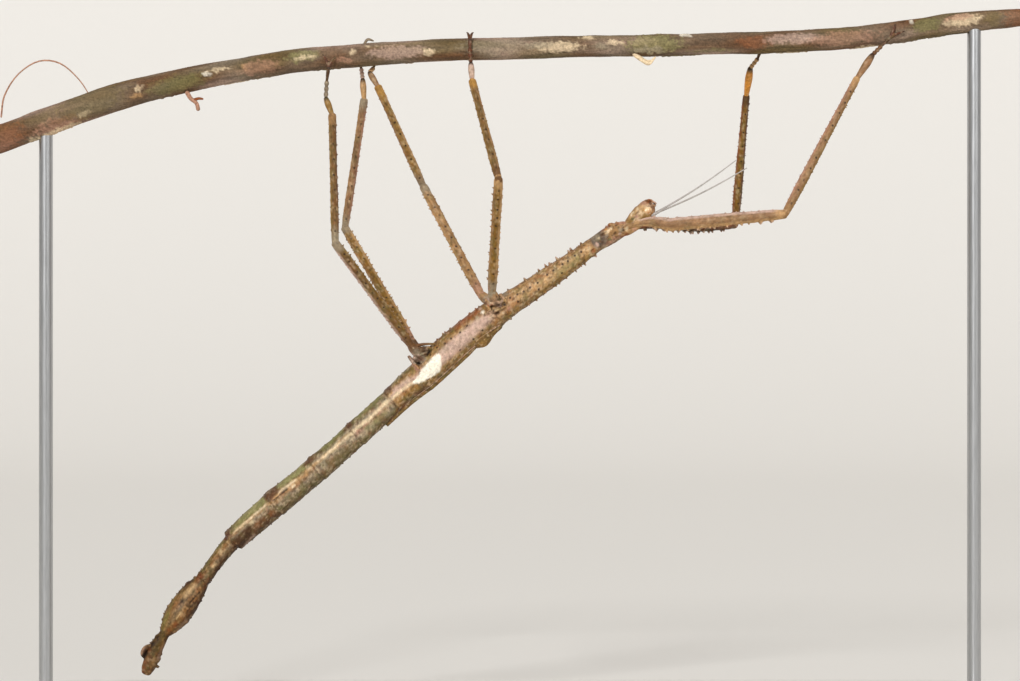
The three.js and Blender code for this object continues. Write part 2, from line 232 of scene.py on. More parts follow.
# A straight tube along Z, drawn ring by ring. A station is (distance, radius) in mm.
def growTube(name, stations, sides):
    clearSelection()
    start, radius = stations[0]
    spot = (0, 0, start * mm)
    bpy.ops.mesh.primitive_circle_add(vertices=sides, radius=radius * mm, fill_type="NGON", location=spot)
    bpy.ops.object.transform_apply(location=True, rotation=True, scale=True)
    piece = keepName(name)
    bpy.ops.object.mode_set(mode="EDIT")
    bpy.ops.mesh.select_all(action="SELECT")
    for (last, before), (now, after) in zip(stations, stations[1:]):
        bpy.ops.mesh.extrude_region_move(TRANSFORM_OT_translate={"value": (0, 0, (now - last) * mm)})
        bpy.ops.transform.resize(value=(after / before, after / before, 1), center_override=(0, 0, now * mm))
    bpy.ops.mesh.select_all(action="SELECT")
    bpy.ops.mesh.normals_make_consistent(inside=False)
    bpy.ops.object.mode_set(mode="OBJECT")
    return piece


# Smooth line through points, as (steps per span) samples, with the place counted in spans.
def smoothLine(points, steps):
    points = [np.array(p, float) for p in points]
    points = [2 * points[0] - points[1], *points, 2 * points[-1] - points[-2]]
    samples = []
    for i in range(1, len(points) - 2):
        a, b, c, d = points[i - 1:i + 3]
        gaps = [max(np.linalg.norm(q - p), 1e-9) ** 0.5 for p, q in ((a, b), (b, c), (c, d))]
        leave = ((b - a) / gaps[0] - (c - a) / (gaps[0] + gaps[1]) + (c - b) / gaps[1]) * gaps[1]
        arrive = ((c - b) / gaps[1] - (d - b) / (gaps[1] + gaps[2]) + (d - c) / gaps[2]) * gaps[1]
        for j in range(steps):
            t = j / steps
            samples.append(b + leave * t + (3 * (c - b) - 2 * leave - arrive) * t ** 2
                           + (2 * (b - c) + leave + arrive) * t ** 3)
    samples.append(points[-2])
    return np.array(samples)


def spread(radii, share):
    return np.interp(share, np.linspace(0, 1, len(radii)), radii)


def distancesAlong(line):
    return np.concatenate([[0], np.cumsum(np.linalg.norm(np.diff(line, axis=0), axis=1))])


# A tube bent along a smooth line through points, with round ends. Radii are spaced evenly along it.
def drawTube(name, points, radii, sides, steps):
    line = smoothLine(points, steps)
    distances = distancesAlong(line)
    widths = spread(radii, distances / distances[-1])
    first, last = widths[0] * 0.5, widths[-1] * 0.5
    stations = [(-first, first), *zip(distances.tolist(), widths.tolist()), (distances[-1] + last, last)]
    piece = growTube(name, stations, sides)
    smoothForm(piece, 1)
    bendPoints(piece, line, distances)
    return piece


# Bends a straight tube along a line, with the tube's X held near the scene's Y.
def bendPoints(piece, line, distances):
    points = pointsOf(piece)
    reach = np.clip(points[:, 2], 0, distances[-1])
    ahead = np.gradient(line, axis=0)
    ahead /= np.linalg.norm(ahead, axis=1)[:, None]
    centre, tangent = (np.stack([np.interp(reach, distances, rows[:, k]) for k in range(3)], axis=1)
                       for rows in (line, ahead))
    tangent /= np.linalg.norm(tangent, axis=1)[:, None]
    across = np.array((0, 1, 0)) - tangent * tangent[:, 1:2]
    across /= np.linalg.norm(across, axis=1)[:, None]
    other = np.cross(tangent, across)
    movePoints(piece, centre + across * points[:, :1] + other * points[:, 1:2]
               + tangent * (points[:, 2] - reach)[:, None])
    faceOut(piece)


# The trunk, in mm. A length of it starts at (x, z), and its radii are spaced evenly to its end.
trunk = {
    "lengths": (   # name, start, radii, width as a share of its height, lift of its middle to the back
        ("pronotum", (25.5, 109.7), (1.3, 1.65, 1.9, 1.95, 1.7), 1.05, -0.1),
        ("mesothorax", (18.7, 106.0), (1.7, 1.85, 2.0, 2.2, 2.4, 2.5, 2.7, 3.1), 1.0, 0.55),
        ("metathorax", (-3.6, 90.7), (3.1, 3.2, 3.3, 3.4, 3.4, 3.3), 1, -0.2),
        ("abdomen_2", (-19.2, 77.4), (3.25, 3.05, 2.85, 2.75), 1, -0.1),
        ("abdomen_3", (-25.4, 72.0), (2.75, 2.8, 2.85, 2.95), 1, 0.1),
        ("abdomen_4", (-33.3, 64.8), (2.85, 2.8, 2.85, 3.0), 1, 0.1),
        ("abdomen_5", (-41.8, 57.3), (2.9, 2.85, 2.95, 3.1), 1, 0.1),
        ("abdomen_6", (-50.9, 49.7), (3.0, 2.85, 2.75, 2.55), 1, 0.1),
        ("abdomen_7", (-59.8, 41.7), (1.9, 1.7, 1.6, 1.6), 1, 0),
        ("abdomen_8", (-66.2, 33.4), (1.6, 2.25, 2.75, 2.85, 2.85, 2.1, 1.2), 0.9, -0.05),
        ("abdomen_9", (-74.3, 22.0), (1.15, 1.45, 1.65), 0.95, 0),
        ("abdomen_10", (-76.6, 18.2), (1.75, 1.85, 1.55, 0.85), 0.9, 0),
    ),
    "tail": (-78.5, 13.0), "sides": 20,
    "ring": 1.25,                       # between rings before they are smoothed
    "firstRim": 3,                      # the first length with a raised rim at its rear end
    "rim": (0.09, 0.3, 0.5),            # how far that rim stands out, its place before the joint, its width
    "groove": (0.1, 0.4),               # depth and width of the joint behind it
    "ridge": (0.13, 112, 7),            # height along the abdomen's sides, angle and width in degrees
    "keel": (0.1, 0, 9),                # the same along the back, in front of the wings
    "creases": (0.03, 9, 0.9, 0.08),    # height, turns per mm, and place and width on a length of abdomen
    "rough": ((0.1, 1.3, 31), (0.06, 0.6, 32)),
    "knobs": (   # mm along the trunk, degrees from the back, size and height
        (1.3, 95, 0.5, 0.25), (2.1, 175, 0.4, 0.4), (3.5, 165, 0.45, 0.5), (2.8, 108, 0.35, -0.35),
        (3.1, 135, 0.5, 0.35), (3.6, 72, 0.4, -0.3), (4.7, 118, 0.6, 0.3), (5.4, 74, 0.45, -0.4),
        (4.5, 160, 0.35, -0.25), (6.1, 140, 0.3, 0.25), (6.8, 108, 0.25, 0.3), (7.4, 130, 0.7, -0.3),
        (7.8, 85, 0.8, -0.25), (9.8, 63, 0.45, -0.4), (9.5, 120, 0.6, 0.25), (10.6, 30, 0.6, 0.3),
        (12.3, 85, 0.5, -0.15), (31.0, 118, 0.4, 0.35), (32.4, 104, 0.4, -0.4), (33.6, 92, 0.4, -0.3),
        (34.2, 125, 0.5, 0.3), (35.4, 108, 0.45, 0.4), (36.6, 118, 0.4, -0.3), (33.0, 70, 0.6, 0.2),
        (48.6, 150, 0.5, 0.3), (49.9, 165, 0.5, -0.45), (51.6, 128, 0.5, 0.25), (53.3, 145, 0.6, -0.5),
        (54.4, 172, 0.35, 0.45), (54.7, 145, 0.35, 0.4), (54.8, 120, 0.35, 0.3), (47.0, 30, 0.8, 0.15),
        (61.8, 60, 0.8, 0.2), (71.5, 130, 0.7, 0.2), (83.5, 40, 0.8, 0.2), (95.0, 135, 0.7, -0.15),
        (96.5, 60, 0.6, 0.25), (99.5, 40, 0.8, -0.2), (107.5, 60, 0.7, 0.3), (109.0, 120, 0.5, 0.25),
        (119.0, 150, 0.5, 0.3), (120.5, 60, 0.6, -0.2), (122.4, 170, 0.5, 0.35), (123.6, 110, 0.6, 0.25),
        (124.8, 65, 0.45, -0.25), (126.0, 150, 0.5, 0.3), (127.3, 90, 0.6, 0.2), (128.6, 20, 0.6, 0.3),
        (130.6, 60, 0.5, 0.25), (131.8, 25, 0.5, 0.25), (135.2, 155, 0.45, 0.3), (137.0, 75, 0.5, -0.2),
        (138.4, 20, 0.5, 0.3), (140.9, 178, 0.8, -0.75), (140.2, 30, 0.5, 0.3), (142.2, 70, 0.5, -0.2),
    ),
}
trunkNames = [name for name, *rest in trunk["lengths"]]
trunkJoints = np.array([start for name, start, *rest in trunk["lengths"]] + [trunk["tail"]])
trunkSteps = 24
trunkLine = smoothLine(trunkJoints, trunkSteps)
trunkPlaces = np.arange(len(trunkLine)) / trunkSteps
trunkAhead = np.gradient(trunkLine, axis=0)
trunkAhead /= np.linalg.norm(trunkAhead, axis=1)[:, None]
trunkBack = np.stack([-trunkAhead[:, 1], trunkAhead[:, 0]], axis=1)
jointDistances = distancesAlong(trunkJoints)
lastPlace = len(trunkNames) - 1e-6


# A place counts lengths of the trunk from the neck. The distance is in mm.
def placeAt(distance):
    return np.interp(distance, jointDistances, np.arange(len(jointDistances)))


def alongTrunk(place, rows):
    return np.stack([np.interp(place, trunkPlaces, rows[:, k]) for k in (0, 1)], axis=-1)


# Centre (x, z), direction to the back (x, z), radius and width at places along the trunk.
def trunkSection(places):
    places = np.clip(places, 0, lastPlace)
    index = np.floor(places).astype(int)
    share = places - index
    centre, back = alongTrunk(places, trunkLine), alongTrunk(places, trunkBack)
    radius, wide, lift = np.zeros((3, *share.shape))
    for i, (name, start, radii, width, rise) in enumerate(trunk["lengths"]):
        here = index == i
        radius[here] = spread(radii, share[here])
        wide[here] = width
        lift[here] = rise * np.sin(np.pi * share[here])
    return centre + back * lift[..., None], back, radius, wide


def makeTrunk():
    stations = [(0.12, 0.9)]   # the neck end is closed inside the head
    rim, rimPlace, rimWidth = trunk["rim"]
    groove, grooveWidth = trunk["groove"]
    for i, (name, start, radii, *rest) in enumerate(trunk["lengths"]):
        size = jointDistances[i + 1] - jointDistances[i]
        for along in (0.15, *np.linspace(0.5, size - 0.6, round(size / trunk["ring"])), size - 0.15):
            radius = spread(radii, along / size)
            if i >= trunk["firstRim"]:
                radius += rim * bell(size - along, rimPlace, rimWidth)
            if i > trunk["firstRim"]:
                radius -= groove * bell(along, 0, grooveWidth)
            stations.append((jointDistances[i] + along, radius))
    stations.append((jointDistances[-1] + 0.1, 0.35))
    piece = growTube("skin", stations, trunk["sides"])
    smoothForm(piece, 2)
    points = pointsOf(piece)
    places = placeAt(points[:, 2])
    angle = np.degrees(np.arctan2(np.abs(points[:, 0]), points[:, 1]))   # 0 on the back, 180 on the belly
    distance = np.hypot(points[:, 0], points[:, 1])
    (ridge, *ridgeShape), (keel, *keelShape) = trunk["ridge"], trunk["keel"]
    lines = ridge * bell(angle, *ridgeShape) * np.clip((places - 2.6) * 2, 0, 1)
    lines += keel * bell(angle, *keelShape) * (places < 2)
    relief = unevenness(points, trunk["rough"])
    for along, turn, size, height in trunk["knobs"]:
        relief += height * bell(np.hypot(points[:, 2] - along, (angle - turn) * 0.05), 0, size)
    crease, turns, *creaseShape = trunk["creases"]
    relief += crease * bell(places % 1, *creaseShape) * (places > 2.9) * np.sin(points[:, 2] * turns)
    scale = (1 + lines / np.maximum(distance, 0.3)) * (1 + relief / np.maximum(distance, 1))
    centre, back, radius, wide = trunkSection(places)
    x, y = points[:, 0] * scale, points[:, 1] * scale
    bent = [centre[:, 0] + back[:, 0] * y, -x * wide, centre[:, 1] + back[:, 1] * y]
    movePoints(piece, np.stack(bent, axis=1))
    faceOut(piece)
    return piece


# The legs, from the root of each coxa to the tips of its claws, in mm.
legs = {
    "fore_left": {
        "root": (21.9, -0.9, 108.2), "hip": (23.8, -2.9, 108.9), "knee": (58.3, -10.6, 111.8),
        "ankle": (74.4, -3.2, 141.2), "claws": [(82.6, -2.9, 152.9), (84.7, -3.0, 151.4)],
        "foot": [(77.8, -3.1, 146.3), (79.6, -3.1, 148.1), (81.5, -3.1, 149.9)]},
    "fore_right": {
        "root": (21.9, 0.9, 108.2), "hip": (24.2, 2.9, 109.1), "knee": (50.7, 29.7, 111.2),
        "ankle": (51.8, 11.4, 138.6), "claws": [(54.0, 2.9, 150.6), (55.6, 2.9, 150.2)],
        "foot": [(52.3, 6.5, 144.3), (53.7, 4.1, 146.1), (54.3, 3.2, 148.0)],
        "femur": (0.6, 0.62, 0.85, 1.05, 1.22, 1.3, 1.2, 1.0)},   # it is slimmer near the head
    "mid_left": {
        "root": (-2.6, -1.4, 92.4), "hip": (-3.9, -3.4, 95.4), "knee": (-2.4, -15.9, 118.9),
        "ankle": (-8.1, -3.8, 140.6), "claws": [(-9.3, -0.9, 151.3), (-7.9, -0.9, 151.3)],
        "foot": [(-8.4, -3.2, 144.5), (-8.6, -3.2, 147.6), (-8.6, -2.8, 149.6)]},
    "mid_right": {
        "root": (-2.9, 1.4, 92.2), "hip": (-6.3, 3.4, 94.9), "knee": (-18.9, 8.8, 118.6),
        "ankle": (-28.4, -0.6, 139.6), "claws": [(-29.3, 3.1, 148.9), (-27.9, 3.1, 148.7)],
        "foot": [(-30.3, 0.4, 142.8), (-29.6, 2.6, 143.9), (-28.9, 3.4, 146.0)]},
    "hind_left": {
        "root": (-18.2, -1.6, 80.4), "hip": (-21.2, -3.9, 84.0), "knee": (-36.8, -14.9, 105.5),
        "ankle": (-38.1, -3.4, 133.3), "claws": [(-40.2, -3.1, 146.3), (-37.4, -3.1, 145.7)],
        "foot": [(-39.5, -3.2, 137.0), (-39.3, -3.2, 140.5), (-38.9, -3.2, 143.6)]},
    "hind_right": {
        "root": (-18.6, 1.6, 80.2), "hip": (-21.3, 3.9, 84.9), "knee": (-36.4, 14.9, 109.8),
        "ankle": (-31.6, 3.4, 137.1), "claws": [(-33.3, 3.1, 148.6), (-31.9, 3.1, 148.6)],
        "foot": [(-31.9, 3.2, 141.6), (-32.2, 3.2, 143.8), (-32.6, 3.2, 145.8)]},
}
legShapes = {
    "fore": {"femur": (0.6, 0.58, 0.8, 1.26, 1.42, 1.42, 1.4, 1.38, 1.36, 1.34, 1.3, 1.26, 1.22, 1.12, 1.0),
             "tibia": (0.8, 1.0, 0.95, 0.85, 0.78, 0.76)},
    "mid": {"femur": (0.85, 1.08, 1.02, 0.98, 0.98, 1.02, 0.95),
            "tibia": (0.75, 0.92, 0.86, 0.83, 0.8, 0.88)},
    "hind": {"femur": (0.85, 1.08, 1.02, 0.98, 0.98, 1.02, 0.95),
             "tibia": (0.75, 0.88, 0.83, 0.8, 0.8, 0.88)},
    "coxa": (1.15, 1.2, 1.15, 0.95),
    "sides": 8,
    "ends": (0.5, 0.5),   # how far the round ends stand out, as a share of their radius
    "ring": 1.75,    # mm between rings before they are smoothed
    "keel": 0.07,    # how much the four edges of a limb stand out, as a share of its radius
    "swell": 1.03,   # makes up for what the smoothing takes off
    "rough": ((0.07, 1.1, 41), (0.05, 0.5, 42)),
}
foreBows = {"fore_left": {"at": 0.15, "by": 1.0}, "fore_right": {"at": 0.3, "by": 0.6}}


# The directions of a limb: along it, to its upper edge, and to its face.
def limbAxes(start, end):
    along = (Vector(end) - Vector(start)).normalized()
    edge = along.cross(Vector((0, 1, 0))).normalized()
    return along, edge, edge.cross(along)


def limbBow(shape, share):
    return shape["by"] * np.sin(np.pi * np.clip(share / (2 * shape["at"]), 0, 1)) if shape else 0 * share


# A limb piece between two joints, with round ends, keeled edges and an optional bow at its root.
def makeLimb(name, start, end, radii, bow=None, form=legShapes):
    length = (Vector(end) - Vector(start)).length
    shares = np.linspace(0, 1, max(round(length / legShapes["ring"]), 5))
    stations = [(share * length, float(spread(radii, share))) for share in shares]
    first, last = stations[0][1], stations[-1][1]
    rootCap, tipCap = form["ends"]
    stations = [(-rootCap * first, first * 0.5), (-rootCap * first * 0.5, first * 0.86), *stations,
                (length + tipCap * last * 0.5, last * 0.86), (length + tipCap * last, last * 0.5)]
    piece = growTube(name, stations, form["sides"])
    smoothForm(piece, 2)
    points = pointsOf(piece)
    angle = np.arctan2(points[:, 1], points[:, 0])
    along, edge, face = limbAxes(start, end)
    basis = np.array([edge, face, along])
    points[:, :2] *= (legShapes["swell"] * (1 + form["keel"] * np.cos(4 * angle)))[:, None]
    points[:, 0] += limbBow(bow, points[:, 2] / length)
    points[:, :2] *= unevenness(points @ basis + np.array(start), legShapes["rough"], 1)[:, None]
    movePoints(piece, points @ basis + np.array(start))
    faceOut(piece)
    return piece


# What is needed to find a point of the skin on its limb again, in the order the limbs are made.
limbs = []


def makeLegs():
    pieces = []
    for place, leg in legs.items():
        pair = place.split("_")[0]
        femur = leg.get("femur", legShapes[pair]["femur"])
        for kind, start, end, radii, bow in (
                ("coxa", leg["root"], leg["hip"], legShapes["coxa"], None),
                ("femur", leg["hip"], leg["knee"], femur, foreBows.get(place)),
                ("tibia", leg["knee"], leg["ankle"], legShapes[pair]["tibia"], None)):
            pieces.append(makeLimb(f"{kind}_{place}_form", start, end, radii, bow))
            limbs.append({"kind": kind, "pair": pair, "place": place, "start": np.array(start),
                          "end": np.array(end), "radii": radii, "bow": bow})
    return pieces


# The head: a blunt club from the neck to the mouth, in mm. Its bumps are on both sides.
head = {
    "neck": (25.5, 0, 109.7), "front": (30.1, 0, 113.9),
    "radii": (1.2, 1.5, 1.75, 1.92, 2.0, 2.0, 1.95, 1.75),
    "ends": (0.6, 0.5), "sides": 16, "keel": 0,
    "axis": 6,   # how far the line goes on from the neck that the bumps push away from
    "bumps": (   # x, y, z, size, height
        (29.5, -2.0, 112.8, 1.0, 0.3), (28.1, -1.6, 112.6, 0.6, 0.22), (28.7, -1.5, 113.9, 0.7, 0.25),
        (28.6, -1.6, 111.5, 0.8, 0.2), (27.2, -1.3, 112.9, 0.35, 0.2), (26.8, -1.2, 112.0, 0.3, 0.2),
        (27.7, -1.2, 113.6, 0.3, 0.18), (27.4, -1.9, 111.6, 0.35, -0.2), (30.6, -1.0, 112.4, 0.5, 0.25),
        (30.4, -1.4, 113.7, 0.45, -0.25), (28.4, -2.0, 113.2, 0.3, -0.18), (29.0, 0.0, 110.9, 0.5, -0.15),
        (30.9, 0.0, 113.2, 0.6, -0.2),
    ),
    "eye": (29.5, 1.5, 112.9), "eyeRadius": 0.98, "eyeLean": (0.25, 0.1), "eyeShape": (1.12, 0.95, 0.85),
    "feelerRoot": (30.5, 0.95, 111.9), "feelerLength": 23, "feelerSag": 0.5,
    "feelerLean": {"left": (0.85, -0.24, 0.42), "right": (0.82, 0.24, 0.54)},
    "feelerJoints": (   # distances from the root, and radii
        ((0, 0.6, 1.2), (0.32, 0.42, 0.33)), ((1.25, 1.55, 1.9), (0.24, 0.3, 0.22))),
    "lashRadii": ((0, 0.3, 1), (0.21, 0.18, 0.1)), "lashRings": (0.97, 1.06),
}


def makeHead():
    start = np.array(head["neck"])
    form = makeLimb("head_form", start, head["front"], head["radii"], form=head)
    points = pointsOf(form)
    along = np.array(limbAxes(start, head["front"])[0])
    out = points - start - np.clip((points - start) @ along, 0, head["axis"])[:, None] * along
    out /= np.maximum(np.linalg.norm(out, axis=1), 0.1)[:, None]
    mirrored = points * (1, 0, 1) - np.abs(points) * (0, 1, 0)
    push = np.zeros(len(points))
    for *spot, size, height in head["bumps"]:
        push += height * bell(np.linalg.norm(mirrored - spot, axis=1), 0, size)
    movePoints(form, points + out * push[:, None])
    return form


def weld(whole, others):
    crowd = bpy.data.collections.new("others")
    for piece in others:
        crowd.objects.link(piece)
    applyModifier(whole, "BOOLEAN", operation="UNION", solver="MANIFOLD", operand_type="COLLECTION",
                  collection=crowd)
    for piece in others:
        bpy.data.objects.remove(piece)
    bpy.data.collections.remove(crowd)


# The floor, the lights and the camera. The camera looks level along +Y.
studio = {
    "cameraDistance": 650, "cameraHeight": 85, "frameWidth": 219.8, "sensor": 36,   # mm
    "world": "#f1efec", "ambient": 0.42,
    "floorSize": (14, 4, 1.2, 1.6, 5),   # width, reach to the front and back, bend and height, in metres
    "floorGap": 0.0002,                  # how far the floor lies below the base, in metres
    "aim": (0, 0, 0.09),                 # what the lights point at
    "lights": (   # kind, place in metres, size in metres or degrees, power
        ("SUN", (-0.35, -1.0, 0.6), 10, 2.1), ("AREA", (0.8, -1.0, 0.7), 0.7, 5.0)),
}


def setStudio():
    clearSelection()
    wide, near, far, bend, high = studio["floorSize"]
    curve = bend * math.pi / 2
    bpy.ops.mesh.primitive_grid_add(x_subdivisions=1, y_subdivisions=160, size=1, calc_uvs=False)
    floor = keepName("floor")
    bpy.ops.transform.resize(value=(wide, near + far + curve + high, 1))
    bpy.ops.object.transform_apply(location=True, rotation=True, scale=True)
    points = pointsOf(floor) * mm
    way = points[:, 1] - points[:, 1].min() - near
    turn = np.clip((way - far) / bend, 0, math.pi / 2)
    points[:, 1] = np.minimum(way, far) + bend * np.sin(turn)
    points[:, 2] = bend * (1 - np.cos(turn)) + np.maximum(way - far - curve, 0) - studio["floorGap"]
    movePoints(floor, points / mm)
    shadeSmooth(floor, 40)
    material, tree = newMaterial("matt pale studio paper")
    grain = addNode(tree, "TexNoise", inputs={"Scale": 3.0})
    tone = addNode(tree, "Mix", {"data_type": "RGBA"}, {
        0: grain.outputs["Fac"], 6: hexColour("#e6e3de"), 7: hexColour("#e9e6e1")})
    shader = addNode(tree, "BsdfPrincipled", inputs={"Base Color": tone.outputs[2], "Roughness": 0.9})
    addNode(tree, "OutputMaterial", inputs={"Surface": shader.outputs[0]})
    dress(floor, material)
    world = bpy.data.worlds.new("pale studio")
    world.use_nodes = True
    backdrop = world.node_tree.nodes["Background"]
    backdrop.inputs[0].default_value = hexColour(studio["world"])
    backdrop.inputs[1].default_value = studio["ambient"]
    bpy.context.scene.world = world
    for lightKind, spot, size, power in studio["lights"]:
        light = bpy.data.lights.new("studio light", lightKind)
        light.energy = power
        if lightKind == "AREA":
            light.size = size
        else:
            light.angle = math.radians(size)
        lamp = bpy.data.objects.new("studio light", light)
        lamp.location = spot
        lamp.rotation_euler = (Vector(studio["aim"]) - Vector(spot)).to_track_quat("-Z", "Y").to_euler()
        bpy.context.collection.objects.link(lamp)
    lens = bpy.data.cameras.new("camera")
    lens.sensor_width = studio["sensor"]
    lens.lens = studio["sensor"] * studio["cameraDistance"] / studio["frameWidth"]
    lens.clip_start = 0.01
    camera = bpy.data.objects.new("camera", lens)
    camera.location = (0, -studio["cameraDistance"] * mm, studio["cameraHeight"] * mm)
    camera.rotation_euler = (math.radians(90), 0, 0)
    bpy.context.collection.objects.link(camera)
    bpy.context.scene.camera = camera
    bpy.context.scene.view_settings.view_transform = "Standard"


def limbCentre(limb, share):
    along, edge, face = limbAxes(limb["start"], limb["end"])
    length = np.linalg.norm(limb["end"] - limb["start"])
    bow = limbBow(limb["bow"], share)
    return limb["start"] + share[..., None] * length * np.array(along) + bow[..., None] * np.array(edge)


# A point on a limb's surface and the way out of it. The angle is 0 on the upper edge.
def limbPoint(limb, share, angle):
    along, edge, face = (np.array(axis) for axis in limbAxes(limb["start"], limb["end"]))
    out = edge * math.cos(angle) + face * math.sin(angle)
    radius = spread(limb["radii"], share) * (1 + legShapes["keel"] * math.cos(4 * angle))
    return limbCentre(limb, np.array(share)) + out * radius, out


def trunkPoint(place, angle, side):
    centre, back, radius, wide = (part[0] for part in trunkSection(np.array([place])))
    out = np.array([back[0] * math.cos(angle), side * math.sin(angle), back[1] * math.cos(angle)])
    return np.array([centre[0], 0, centre[1]]) + out * radius * np.array([1, wide, 1]), out


# Where each point lies on the trunk: its place, its angle from the back and its height over the surface.
def trunkCoordinates(points):
    flat = points[:, [0, 2]]
    nearest = np.concatenate([((part[:, None] - trunkLine) ** 2).sum(-1).argmin(1)
                              for part in np.array_split(flat, len(flat) // 8000 + 1)])
    speed = np.linalg.norm(np.gradient(trunkLine, axis=0), axis=1)[nearest]
    step = ((flat - trunkLine[nearest]) * trunkAhead[nearest]).sum(1) / speed
    places = np.clip((nearest + step) / trunkSteps, 0, lastPlace)
    centre, back, radius, wide = trunkSection(places)
    across = ((flat - centre) * back).sum(1)
    out = points[:, 1] / wide
    before = ((flat - centre) * trunkAhead[nearest]).sum(1) * (places <= 0)
    over = np.hypot(np.hypot(across, out) - radius, before)
    return places, np.degrees(np.arctan2(np.abs(out), across)), across, over


def limbCoordinates(points, limb):
    along, edge, face = (np.array(axis) for axis in limbAxes(limb["start"], limb["end"]))
    length = np.linalg.norm(limb["end"] - limb["start"])
    share = ((points - limb["start"]) @ along) / length
    gaps = points - limbCentre(limb, np.clip(share, 0, 1))
    distance = np.linalg.norm(gaps, axis=1)
    over = np.abs(distance - spread(limb["radii"], np.clip(share, 0, 1)))
    return share, np.degrees(np.arctan2(np.abs(gaps @ face), gaps @ edge)), over


# Markings of the trunk: colours from the back (0 degrees) to the belly (180).
bands = {
    "pronotum": ((0, "brown"), (45, "pink"), (80, "tan"), (115, "sand"), (145, "rust"), (180, "pink")),
    "mesothorax": ((0, "brown"), (25, "ochre"), (50, "ochre"), (75, "sand"), (100, "sand"), (125, "tan"),
                   (150, "tan"), (180, "brown")),
    "metathorax": ((0, "ash"), (22, "tan"), (42, "ochre"), (60, "tan"), (80, "lilac"), (102, "lilac"),
                   (114, "tan"), (135, "ochre"), (160, "brown"), (180, "rust")),
    "abdomen_2": ((0, "olive"), (35, "brown"), (62, "ochre"), (82, "tan"), (100, "lilac"), (112, "sand"),
                  (130, "ochre"), (150, "olive"), (180, "ash")),
    "abdomen_3": ((0, "umber"), (40, "olive"), (70, "ash"), (92, "pink"), (106, "cream"), (116, "ash"),
                  (140, "olive"), (160, "moss"), (180, "ash")),
    "abdomen_4": ((0, "umber"), (40, "olive"), (75, "grey"), (96, "ash"), (108, "sand"), (120, "ash"),
                  (142, "olive"), (160, "moss"), (180, "ash")),
    "abdomen_5": ((0, "umber"), (45, "olive"), (78, "grey"), (98, "tan"), (109, "sand"), (122, "olive"),
                  (150, "moss"), (180, "ash")),
    "abdomen_6": ((0, "umber"), (40, "brown"), (75, "brown"), (95, "ash"), (107, "tan"), (122, "moss"),
                  (150, "olive"), (180, "olive")),
    "abdomen_7": ((0, "umber"), (45, "brown"), (80, "grey"), (105, "tan"), (140, "moss"), (180, "olive")),
    "abdomen_8": ((0, "umber"), (35, "brown"), (70, "tan"), (95, "grey"), (125, "tan"), (160, "olive"),
                  (180, "brown")),
    "abdomen_9": ((0, "brown"), (50, "ochre"), (90, "olive"), (130, "umber"), (180, "brown")),
    "abdomen_10": ((0, "brown"), (50, "tan"), (90, "brown"), (130, "rust"), (180, "umber")),
}

